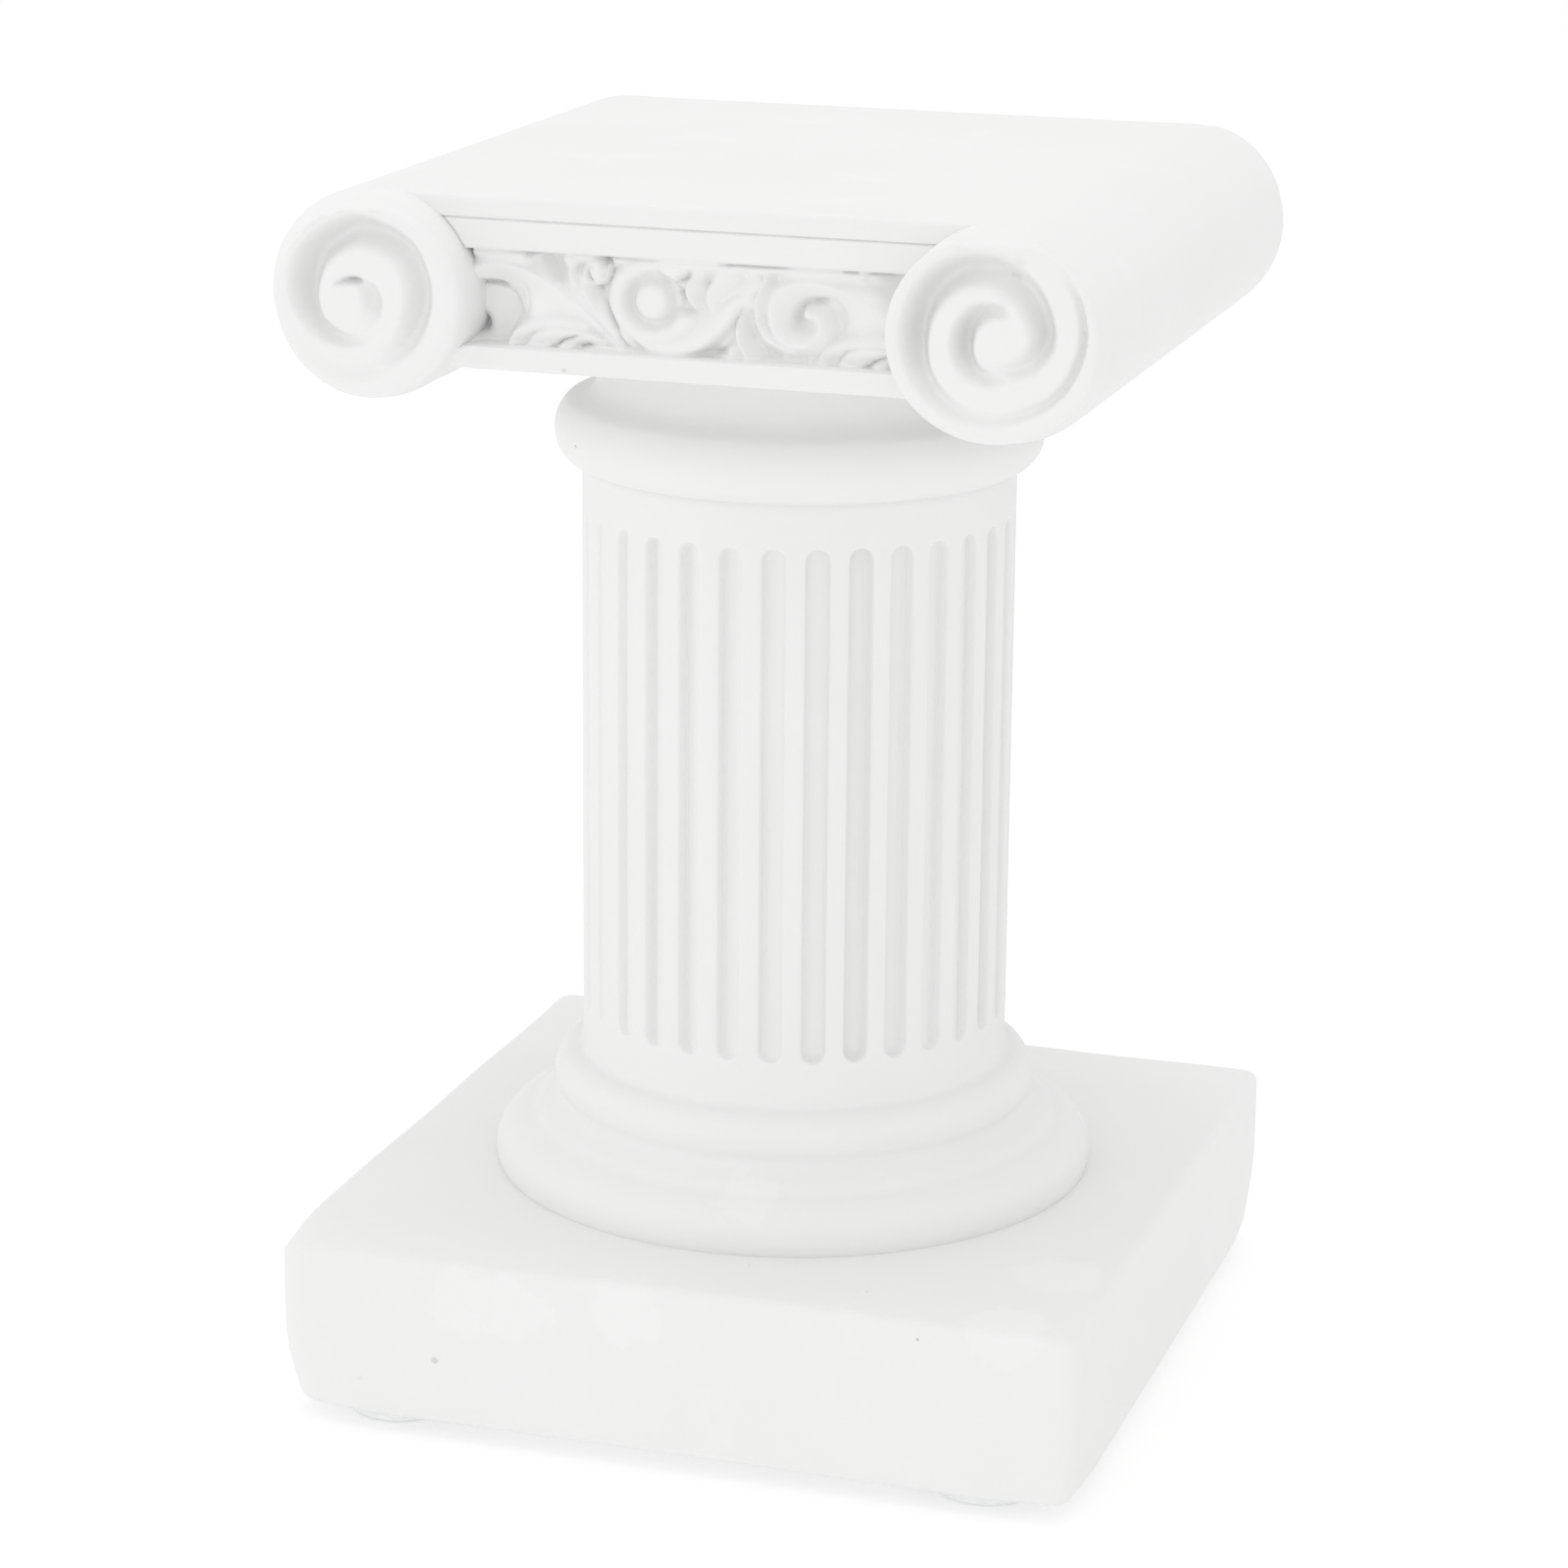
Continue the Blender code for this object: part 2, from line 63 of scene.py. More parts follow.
MM = 0.001
PADS = ("pad_front_left", "pad_front_right", "pad_back_left", "pad_back_right")
CASTING_BOX = [np.array(corner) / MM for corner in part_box("column")]

# Heights on the capital and of the pinholes are counted from here, 0.2 over the plinth's underside.
DATUM = 1.8


def length(name, description, millimetres):
    """Property for a length, shown in the scene's units."""
    return FloatProperty(name=name, description=description, default=millimetres * MM,
                         min=0.0, subtype="DISTANCE", unit="LENGTH")


def colour(name, description, value):
    """Property for a colour without alpha."""
    return FloatVectorProperty(name=name, description=description, default=value, size=3,
                               min=0.0, max=1.0, subtype="COLOR")


class CastingSizes(bpy.types.PropertyGroup):
    """Sizes of the casting's forms."""

    plinth_thickness: length("Plinth Thickness", "Height of the square block", 17.4)
    shaft_radius: length("Shaft Radius", "Radius of the shaft over its lands", 21.4)
    shaft_foot: length("Shaft Foot", "Height at which the shaft starts", 30.9)
    shaft_top: length("Shaft Top", "Height at which the shaft ends", 91.1)
    flute_width: length("Flute Width", "Width of one flute at the shaft's face", 2.4)
    flute_depth: length("Flute Depth", "Depth of a flute's floor", 1.45)
    neck_radius: length("Neck Radius", "Radius of the plain neck under the slab", 19.9)
    slab_foot: length("Slab Foot", "Height of the capital's underside", 105.0)
    bolster_radius: length("Bolster Radius", "Radius of the rolled sides", 9.7)
    capital_depth: length("Capital Depth", "Depth of the slab between its carved faces", 71.2)
    panel_recess: length("Panel Recess", "How deep the carved panels are let in", 3.2)
    relief_height: length("Relief Height", "Height of the carving over the panel's floor", 2.7)
    flute_count: IntProperty(name="Flutes", description="How many flutes stand round the shaft",
                             default=32, min=8, max=64)


class FinishColours(bpy.types.PropertyGroup):
    """Colours of the casting and the pads."""

    casting: colour("Casting", "Dry white of the casting", (0.85, 0.85, 0.847))
    patch: colour("Patch", "Paler rubbed patches", (0.885, 0.885, 0.883))
    hollow: colour("Hollow", "Duller white that settles in pits and corners", (0.825, 0.823, 0.817))
    pad: colour("Pad", "Clear soft plastic", (0.93, 0.94, 0.94))
    streak: colour("Streak", "Duller streaks in the pads", (0.80, 0.82, 0.82))


class StageLight(bpy.types.PropertyGroup):
    """Floor and light of the stage."""

    floor: colour("Floor", "Pale floor", (0.55, 0.55, 0.55))
    glow: FloatProperty(name="Glow", description="Strength of the light the lit floor gives off",
                        default=0.48, min=0.0)
    left: FloatProperty(name="Left", description="Power of the soft light from the left",
                        default=0.62, min=0.0, unit="POWER")
    front: FloatProperty(name="Front", description="Power of the soft light in front",
                         default=0.40, min=0.0, unit="POWER")
    top: FloatProperty(name="Top", description="Power of the soft light overhead",
                       default=1.40, min=0.0, unit="POWER")
    fill: FloatProperty(name="Fill", description="Strength of the light from all round",
                        default=0.902, min=0.0)


# Curves and shapes

def ease(low, high, value):
    """0 below low, 1 above high, and a smooth S in between."""
    share = np.clip((value - low) / (high - low), 0.0, 1.0)
    return share * share * (3.0 - 2.0 * share)


def arc_steps(first, last, count):
    """Angles in radians from first to last degrees, in count equal steps."""
    return np.radians(np.linspace(first, last, count + 1))


def pairs(x, z):
    """Points from their places along and up, either of which may be one number for all."""
    return np.stack(np.broadcast_arrays(x, z), axis=-1)


def arc(centre, radius, turn):
    """Points of a circle at angles counted from straight outwards."""
    return np.array(centre) + radius * pairs(np.cos(turn), np.sin(turn))


def curve_through(points, steps=8):
    """Smooth curve through points, with steps pieces in each gap.

    Each gap is a cubic whose slope at a point is half the way between that point's neighbours.
    """
    points = np.array(points, float)
    before = np.vstack([2 * points[0] - points[1], points[:-2]])
    after = np.vstack([points[2:], 2 * points[-1] - points[-2]])
    start, end = points[:-1], points[1:]
    share = (np.arange(steps) / steps)[None, :, None]
    start_slope = ((end - before) / 2)[:, None]
    end_slope = ((after - start) / 2)[:, None]
    start, end = start[:, None], end[:, None]
    body = (
        start * (2 * share**3 - 3 * share**2 + 1)
        + start_slope * (share**3 - 2 * share**2 + share)
        + end * (3 * share**2 - 2 * share**3)
        + end_slope * (share**3 - share**2)
    )
    return np.vstack([body.reshape(-1, points.shape[1]), points[-1:]])


def nearest_on(line, x, z):
    """Gap from each place to a line of points, the share of the line there, and the lean.

    The lean is 1 on the left of the way along the line and -1 on its right. Round the line's
    ends it turns smoothly from one to the other.
    """
    step = np.diff(line[:, :2], axis=0)
    aside = x[..., None] - line[:-1, 0]
    above = z[..., None] - line[:-1, 1]
    along = np.clip((aside * step[:, 0] + above * step[:, 1]) / (step**2).sum(axis=1), 0.0, 1.0)
    aside -= along * step[:, 0]
    above -= along * step[:, 1]
    gap = np.hypot(aside, above)
    best = gap.argmin(axis=-1)
    along, aside, above, gap = (np.take_along_axis(part, best[..., None], -1)[..., 0]
                                for part in (along, aside, above, gap))
    turn = step[best, 0] * above - step[best, 1] * aside
    lean = turn / np.maximum(gap * np.hypot(step[best, 0], step[best, 1]), 1e-9)
    return gap, (best + along) / len(step), lean


def spread_along(values, share):
    """Value at a share of a line, from a few values that stand evenly along it."""
    values = np.atleast_1d(np.array(values, float))
    return np.interp(share, np.linspace(0, 1, len(values)), values)


class Shell:
    """Closed surface gathered from patches whose edges meet, and welded at the end."""

    def __init__(self):
        self.points = []
        self.faces = []
        self.count = 0

    def take(self, points):
        """Store points and give back the number of each."""
        points = np.asarray(points, float)
        flat = points.reshape(-1, 3)
        numbers = self.count + np.arange(len(flat)).reshape(points.shape[:-1])
        self.points.append(flat)
        self.count += len(flat)
        return numbers

    def patch(self, grid, closed=False):
        """Quads over a grid of points, rows by columns; closed joins its last column to its first."""
        numbers = self.take(grid)
        if closed:
            numbers = np.concatenate([numbers, numbers[:, :1]], axis=1)
        corners = (numbers[:-1, :-1], numbers[:-1, 1:], numbers[1:, 1:], numbers[1:, :-1])
        self.faces += np.stack(corners, axis=-1).reshape(-1, 4).tolist()
        return numbers

    def reduce(self, fine, coarse):
        """Faces between a fine row and a coarse one, each with the same number of fine steps."""
        fine_numbers = self.take(fine)
        coarse_numbers = self.take(coarse)
        ratio = (len(fine) - 1) // (len(coarse) - 1)
        starts = np.arange(len(coarse) - 1)
        along = fine_numbers[starts[:, None] * ratio + np.arange(ratio, -1, -1)]
        ends = np.stack([coarse_numbers[:-1], coarse_numbers[1:]], axis=1)
        self.faces += np.concatenate([ends, along], axis=1).tolist()

    def to_object(self, name, finish):
        """Mesh object in metres, welded, with its faces outwards."""
        mesh = bpy.data.meshes.new(name)
        mesh.from_pydata((np.concatenate(self.points) * MM).tolist(), [], self.faces)
        form = bmesh.new()
        form.from_mesh(mesh)
        bmesh.ops.remove_doubles(form, verts=form.verts, dist=1e-6)
        bmesh.ops.dissolve_degenerate(form, edges=form.edges, dist=1e-7)
        bmesh.ops.recalc_face_normals(form, faces=form.faces)
        open_edges = sum(not edge.is_manifold for edge in form.edges)
        form.to_mesh(mesh)
        form.free()
        if open_edges:
            raise RuntimeError(f"{name} has {open_edges} edges that are not closed")
        mesh.materials.append(finish)
        made = bpy.data.objects.new(name, mesh)
        bpy.context.scene.collection.objects.link(made)
        return made


# Turned parts and plinth

COLUMNS_PER_FLUTE = 5

# The plinth's upright corners from the front right, counter-clockwise, and its long edges.
CORNER_RADII = (1.5, 1.5, 1.6, 3.0)
CORNER_STEPS = 5
PLINTH_EDGE = 1.0

# Crease where the lower torus meets the plinth: how far out it starts and ends, and its rise.
CREASE_OUT, CREASE_IN, CREASE_RISE = 0.6, 0.2, 0.04

# How far the plinth's front edge has sunk, at places along it.
FRONT_EDGE_X = (-40, -26, -7, 7, 17, 30, 40)
FRONT_EDGE_SINK = (0.7, 0.6, 0.3, 0.0, 0.1, 0.3, 0.45)

# How far the flutes' cells and their round ends stand in from the shaft's foot and top.
CELL_FOOT, CELL_TOP = 3.6, 3.2
FLUTE_FOOT, FLUTE_TOP = 4.7, 4.3

# Section of a flute inwards from its shoulder, as (distance from its edge, share of its depth).
FLUTE_SECTION = ((0.24, 0.0), (0.08, 0.01), (0.0, 0.08), (-0.07, 0.28), (-0.14, 0.56),
                 (-0.24, 0.84), (-0.45, 0.97))

# The way in which the mould opened, counted counter-clockwise from +X.
MOULD_TURN = math.radians(-57)


class Form:
    """Driving sizes in millimetres, read from the settings and the frame."""

    def __init__(self, sizes):
        for name in CastingSizes.__annotations__:
            value = getattr(sizes, name)
            setattr(self, name, value if name == "flute_count" else value / MM)
        low, high = CASTING_BOX
        self.foot = low[2]
        self.top = high[2]
        self.plinth_top = self.foot + self.plinth_thickness
        self.half_width = (high[0] - low[0]) / 2
        self.half_depth = (high[1] - low[1]) / 2
        self.plane = self.capital_depth / 2
        self.face = self.half_depth
        self.bolster_x = self.half_width - CAPITAL_INSET - self.bolster_radius
        self.bolster_z = self.top - self.bolster_radius
        self.columns = self.flute_count * COLUMNS_PER_FLUTE


def circle(form, radius, height):
    """Ring of the turned parts: a point every 360/columns degrees, from the first flute's side."""
    share = np.arange(form.columns) / form.columns
    turn = 2 * np.pi * (share - 0.5 / form.flute_count) - np.pi / 2
    return np.stack([radius * np.cos(turn), radius * np.sin(turn),
                     np.full(form.columns, height)], axis=1)


def square(form, inset, height):
    """Ring of the plinth: straight sides and round corners, with as many points as a circle.

    Each corner takes a fixed number of steps, and the rest of a quarter is straight. The corner
    at the front left is worn rounder.
    """
    quarter = form.columns // 4
    middle = COLUMNS_PER_FLUTE / 2
    first = quarter / 2 + middle - CORNER_STEPS / 2
    place = np.arange(form.columns)
    points = np.zeros((form.columns, 3))
    points[:, 2] = height
    for corner, radius in enumerate(CORNER_RADII):
        start = np.radians(-90 + 90 * corner)
        steps = (place - corner * quarter) % form.columns
        sides = (form.half_depth, form.half_width)
        reach_out, reach_side = sides[corner % 2] - inset, sides[1 - corner % 2] - inset
        tight = max(radius - inset * 0.6, 0.4)
        centre_out, centre_side = reach_out - tight, reach_side - tight
        turn = np.clip((steps - first) / CORNER_STEPS, 0, 1) * np.pi / 2
        out = np.where(steps <= first, reach_out, centre_out + tight * np.cos(turn))
        run = np.clip((steps - middle) / (first - middle), -1, 1)
        aside = np.where(steps <= first, run * centre_side, centre_side + tight * np.sin(turn))
        beyond = np.clip((steps - first - CORNER_STEPS) / (first - middle), 0, 1)
        out = np.where(steps > first + CORNER_STEPS, centre_out * (1 - beyond), out)
        aside = np.where(steps > first + CORNER_STEPS, reach_side, aside)
        use = (steps >= middle) & (steps < middle + quarter)
        points[use, 0] = (np.cos(start) * out - np.sin(start) * aside)[use]
        points[use, 1] = (np.sin(start) * out + np.cos(start) * aside)[use]
    return points


def wear(form, points):
    """Uneven hand finish of the plinth: sides drawn in low down, and edges that sink a little.

    The sides are drawn in most at the foot and the corners, and by the square of an S that runs
    out 11 mm up. The top edge sinks by set amounts in front and by a faint wave of sines elsewhere.
    """
    x, y, z = points[..., 0], points[..., 1], points[..., 2]
    up = z - form.foot
    edge_x = np.abs(x) / form.half_width
    edge_y = np.abs(y) / form.half_depth
    corner = ease(0.75, 1.0, edge_x) * ease(0.75, 1.0, edge_y)
    left_front = corner * (x < 0) * (y < 0)
    drawn = 0.75 * (1 - ease(0.0, 11.0, up)) ** 2 * (0.25 + 0.75 * corner)
    drawn += 0.35 * left_front * (1 - ease(0.0, 5.0, up))
    near_edge = ease(0.90, 1.0, np.maximum(edge_x, edge_y)) * ease(12.0, 17.4, up)
    ahead = ease(-30.0, -38.0, y)
    wave = 0.10 + 0.08 * np.sin(y * 0.21 + 2.1) + 0.05 * np.sin(x * 0.33)
    sunk = ahead * np.interp(x, FRONT_EDGE_X, FRONT_EDGE_SINK) + (1 - ahead) * wave
    made = points.copy()
    made[..., 0] -= np.sign(x) * drawn * ease(0.6, 1.0, edge_x)
    made[..., 1] -= np.sign(y) * drawn * ease(0.6, 1.0, edge_y)
    made[..., 2] -= near_edge * (sunk + 0.7 * left_front)
    return made


def base_profile(form):
    """Radius and height up the turned base: a wide torus, a hollow, a torus and a crease.

    Each is a smooth curve through points that stand out from the shaft and up from the plinth.
    """
    torus = [(8.72, 0.0), (8.86, 0.6), (8.9, 1.4), (8.6, 2.6), (7.6, 3.8), (6.2, 4.6)]
    hollow = [(6.2, 4.6), (5.2, 5.0), (4.35, 5.75), (3.2, 6.5), (2.55, 7.1), (2.5, 7.6)]
    upper = [(2.5, 7.6), (2.85, 8.5), (2.8, 9.9), (2.1, 11.1), (1.2, 11.7)]
    crease = [(1.2, 11.7), (0.35, 11.95), (0.08, 12.3), (0.0, 12.9)]
    curves = [curve_through(points, steps)[:-1]
              for points, steps in ((torus, 4), (hollow, 3), (upper, 4), (crease, 2))]
    return np.vstack([*curves, crease[-1:]]) + (form.shaft_radius, form.plinth_top)


def neck_profile(form):
    """Radius and height above the shaft: a crease, the ring, the neck and its flare at the slab.

    The ring and the flare are arcs; the rest are points counted from the shaft or the neck.
    """
    turn = arc_steps(-64, 56, 11)
    ring = [(0.0, -0.6), (0.0, -0.25), (-0.1, 0.0), (0.35, 0.22),
            *zip(3.05 * np.cos(turn) - 0.35, 3.4 + 3.5 * np.sin(turn))]
    neck = [(1.9, 6.55), (1.1, 6.85), (0.45, 7.25), (0.1, 7.9), (0.0, 8.7)]
    turn = arc_steps(0, 80, 4)
    flare = [(0.0, -0.9), *zip(0.7 * (1 - np.cos(turn)), 0.7 * np.sin(turn) - 0.7), (-1.0, 3.0)]
    return np.vstack([np.array(ring) + (form.shaft_radius, form.shaft_top),
                      np.array(neck) + (form.neck_radius, form.shaft_top),
                      np.array(flare) + (form.neck_radius, form.slab_foot)])


def flute_cell(form, low, high):
    """Points of one flute, from its cell's edge to its spine: rings by places round the ring.

    The first ring is the cell's rectangle on the shaft. The rest are stadium outlines that close
    in on the flute's middle line and sink with a rounded shoulder to a flat floor.
    """
    half_cell = np.pi * form.shaft_radius / form.flute_count
    half = form.flute_width / 2
    arch_low = form.shaft_foot + FLUTE_FOOT + half
    arch_high = form.shaft_top - FLUTE_TOP - half
    ends = 3
    straight = np.linspace(arch_low, arch_high, 7)
    side_z = np.concatenate([np.linspace(low, arch_low, ends + 1)[:-1], straight,
                             np.linspace(arch_high, high, ends + 1)[1:]])
    end_x = np.linspace(half_cell, -half_cell, COLUMNS_PER_FLUTE + 1)[1:-1]
    rectangle = np.concatenate([pairs(half_cell, side_z), pairs(end_x, high),
                                pairs(-half_cell, side_z[::-1]), pairs(-end_x, low)])
    rows = [np.insert(rectangle, 2, 0.0, axis=1)]
    arch = np.linspace(0, np.pi, 2 * ends + COLUMNS_PER_FLUTE + 1)[1:-1]
    for spread, share in (*FLUTE_SECTION, (-half, 1.0)):
        radius = half + spread
        ring = np.concatenate([pairs(radius, straight), arc((0.0, arch_high), radius, arch),
                               pairs(-radius, straight[::-1]), arc((0.0, arch_low), -radius, arch)])
        rows.append(np.insert(np.roll(ring, ends, axis=0), 2, share * form.flute_depth, axis=1))
    return np.array(rows)


def moulded_share(turn, across):
    """Share of a flute's depth that the mould left, at places from -1 to 1 across the flute.

    The lean is the sine of the flute's angle from the way in which the mould opened. The more a
    flute leans, the gentler its side towards that way rises from a deep far side, and close to
    the mould's seam the whole flute grows shallow.
    """
    away = turn - MOULD_TURN
    lean = math.sin(away) * math.copysign(1.0, math.cos(away))
    slant = max(-1.0, min(1.0, 2.4 * lean))
    rise = (0.5 - 0.5 * across * math.copysign(1.0, slant)) ** 0.6
    skewed = (1 + 0.15 * abs(slant)) * (1 - 0.94 * abs(slant) * rise)
    return skewed * (1 - 0.75 * ease(0.86, 1.0, abs(lean)))


def add_shaft(shell, form, low, high):
    """Every flute's cell, bent round the shaft."""
    cell = flute_cell(form, low, high)
    across = np.clip(cell[..., 0] / (form.flute_width / 2), -1, 1)
    for flute in range(form.flute_count):
        turn = 2 * np.pi * flute / form.flute_count - np.pi / 2
        angle = turn + cell[..., 0] / form.shaft_radius
        radius = form.shaft_radius - cell[..., 2] * moulded_share(turn, across)
        grid = np.stack([radius * np.cos(angle), radius * np.sin(angle), cell[..., 1]], axis=-1)
        shell.patch(grid, closed=True)


def plinth_rings(form, inner_radius):
    """Rings from the middle of the plinth's underside, up its sides and in over its top."""
    foot, top, edge = form.foot, form.plinth_top, PLINTH_EDGE
    rings = [circle(form, 0.0, foot), circle(form, 18.0, foot), square(form, 4.0, foot)]
    rings += [square(form, edge * (1 - np.sin(a)), foot + edge * (1 - np.cos(a)))
              for a in arc_steps(0, 90, 4)]
    rings += [square(form, 0.0, foot + edge + (top - foot - 2 * edge) * share)
              for share in (0.03, 0.14, 0.28, 0.42, 0.56, 0.70, 0.84, 0.97)]
    rings += [square(form, edge * (1 - np.cos(a)), top - edge * (1 - np.sin(a)))
              for a in arc_steps(0, 90, 5)]
    rings += [square(form, edge + inset, top) for inset in (0.35, 1.6)]
    outer, inner = square(form, edge + 4.0, top), circle(form, inner_radius, top)
    rings += [outer * (1 - share) + inner * share for share in (0.0, 0.3, 0.6, 0.85, 1.0)]
    return list(wear(form, np.array(rings)))


def turned_body(form):
    """Plinth, base, shaft, ring and neck as one closed surface."""
    shell = Shell()
    base, neck = base_profile(form), neck_profile(form)
    low, high = form.shaft_foot + CELL_FOOT, form.shaft_top - CELL_TOP
    add_shaft(shell, form, low, high)
    below = [(base[0, 0] + CREASE_IN, form.plinth_top + CREASE_RISE), *base, (form.shaft_radius, low)]
    rings = plinth_rings(form, base[0, 0] + CREASE_OUT)
    rings += [circle(form, radius, height) for radius, height in below]
    shell.patch(np.array(rings), closed=True)
    above = [(form.shaft_radius, high), *neck, (0.0, neck[-1, 1])]
    shell.patch(np.array([circle(form, radius, height) for radius, height in above]), closed=True)
    return shell


# Capital

# Steps of the meshes: across the two carved faces and the slab, over each roll and volute.
FRONT_ACROSS, BACK_ACROSS, ACROSS = 240, 120, 60
FRONT_ROWS, BACK_ROWS = 64, 36
FRONT_RINGS, BACK_RINGS = 56, 30
ROLL_CHORD, ROLL_STEPS = 4, 76
WALL_STEPS, RIM_STEPS = 6, 4

# Heights of the line between the bands and of the panel, over the datum.
BAND_LINE = 117.15
PANEL_TOP, PANEL_FOOT = 114.32, 105.52

CAPITAL_INSET = 0.1
SLAB_EDGE = 0.45
COVE_RADIUS = 4.0

# Middle of the volutes' spirals, and how much wider and deeper they are than their courses say.
SPIRAL_X, SPIRAL_Z = 29.9, 109.74
SPIRAL_SPREAD, SPIRAL_SINK = 1.3, 1.15


class Drum:
    """One volute's places, as if it stood on the right: at the slab's face and at its own rim."""

    def __init__(self, form, side, centre, across, up, down, flat, rim_round, courses):
        self.side = side
        self.centre = np.array([centre[0], centre[1] + DATUM])
        self.across, self.up, self.down = across, up, down
        self.flat = math.radians(flat)
        self.rim_round = rim_round
        self.courses = courses
        self.root_up = form.top + 0.25 - self.centre[1]

    def rise_share(self, z):
        """Height over the centre as a share of the drum's reach there, at the slab's face."""
        rise = z - self.centre[1]
        return np.clip(rise / np.where(rise > 0, self.root_up, self.down), -1, 1)

    def root(self, z):
        """Points of the drum's inner side at heights, at the slab's face: an ellipse."""
        return pairs(self.centre[0] - self.across * np.sqrt(1 - self.rise_share(z) ** 2), z)

    def root_angle(self, z):
        """Angle of those points, from straight inwards, up."""
        return np.arcsin(self.rise_share(z))

    def rim(self, turn):
        """Points of the rim at angles counted from straight outwards, counter-clockwise."""
        up = np.sin(turn)
        return self.centre + pairs(self.across * np.cos(turn), np.where(up > 0, self.up, self.down) * up)


# The courses are (angle, distance from the middle, half width, depth), wound outwards.
RIGHT_COURSES = (
    ((48, 2.8, 0.50, 0.05), (75, 2.70, 0.80, 0.90), (100, 2.60, 0.95, 1.40), (125, 2.50, 1.05, 1.80),
     (150, 2.45, 1.10, 2.20), (180, 2.50, 1.10, 2.50), (210, 2.80, 1.05, 2.20), (240, 3.15, 1.00, 1.40),
     (270, 3.35, 0.90, 0.80), (300, 3.40, 0.75, 0.40), (325, 3.5, 0.50, 0.05)),
    ((268, 2.6, 0.60, 0.05), (300, 3.0, 1.00, 0.70), (330, 3.9, 1.15, 1.30), (360, 4.70, 1.20, 2.30),
     (390, 4.95, 1.35, 2.40), (420, 5.5, 1.50, 2.20), (450, 6.2, 1.55, 2.20), (480, 6.6, 1.60, 2.70),
     (510, 6.8, 1.50, 2.90), (540, 6.90, 1.35, 2.90), (570, 7.05, 1.15, 1.80), (600, 7.05, 1.00, 0.90),
     (630, 6.95, 0.85, 0.50), (660, 7.10, 0.66, 0.65), (690, 7.70, 0.55, 0.85), (720, 8.30, 0.48, 0.90),
     (745, 8.75, 0.42, 0.60), (765, 9.05, 0.35, 0.10)),
)
LEFT_COURSES = (
    ((30, 2.55, 0.20, 0.10), (52, 2.10, 0.34, 0.70), (75, 1.85, 0.42, 1.25), (97, 1.75, 0.46, 0.90),
     (115, 1.70, 0.55, 0.50)),
    ((100, 1.80, 0.60, 0.10), (130, 1.55, 0.90, 0.90), (160, 1.50, 1.05, 1.20), (195, 1.65, 1.10, 1.10),
     (225, 2.05, 1.00, 0.60), (255, 2.45, 0.70, 0.10)),
    ((240, 3.6, 0.55, 0.05), (270, 3.75, 0.75, 0.50), (300, 4.05, 0.90, 1.10), (332, 4.70, 1.10, 1.90),
     (364, 5.15, 1.45, 2.70), (390, 5.45, 1.60, 2.80), (413, 5.75, 1.65, 2.80), (450, 6.35, 1.60, 2.50),
     (489, 6.60, 1.45, 2.10), (515, 6.35, 1.40, 2.10), (540, 6.05, 1.40, 2.20), (568, 5.95, 1.30, 1.80),
     (592, 6.05, 1.10, 0.90), (612, 6.25, 0.90, 0.20)),
    ((585, 6.25, 0.80, 0.05), (612, 6.55, 1.00, 0.45), (640, 6.75, 1.00, 0.40), (672, 7.0, 0.80, 0.05)),
)


def drums_of(form, front):
    """The left and the right volute of the front or the back; the front right one is fuller."""
    if front:
        return [Drum(form, -1, (29.15, 109.7), 9.1, 9.1, 9.13, 10, 1.15, LEFT_COURSES),
                Drum(form, 1, (29.94, 109.74), 9.7, 9.3, 9.24, 22, 0.5, RIGHT_COURSES)]
    return [Drum(form, side, (29.9, 109.7), 9.25, 9.2, 9.2, 14, 0.7, RIGHT_COURSES) for side in (-1, 1)]


def spiral_depth(drum, across, above):
    """Depth of the volute's groove at places counted from its middle.

    Each course is a smooth line round the middle. At a share t of the groove's half width from
    that line the groove has (1 - t^2)^2.6 of its depth, and where two turns lie close the deeper
    one counts.
    """
    depth = np.zeros_like(across)
    for course in drum.courses:
        turn, size, half_width, sunk = np.array(course, float).T
        turn = np.radians(turn)
        keys = [size * np.cos(turn), size * np.sin(turn), half_width, sunk]
        line = curve_through(np.stack(keys, axis=1), 6)
        gap, share, _ = nearest_on(line, across, above)
        t = np.clip(gap / (SPIRAL_SPREAD * spread_along(line[:, 2], share)), 0, 1)
        deepest = SPIRAL_SINK * spread_along(line[:, 3], share)
        depth = np.maximum(depth, deepest * (1 - t**2) ** 2.6)
    return depth


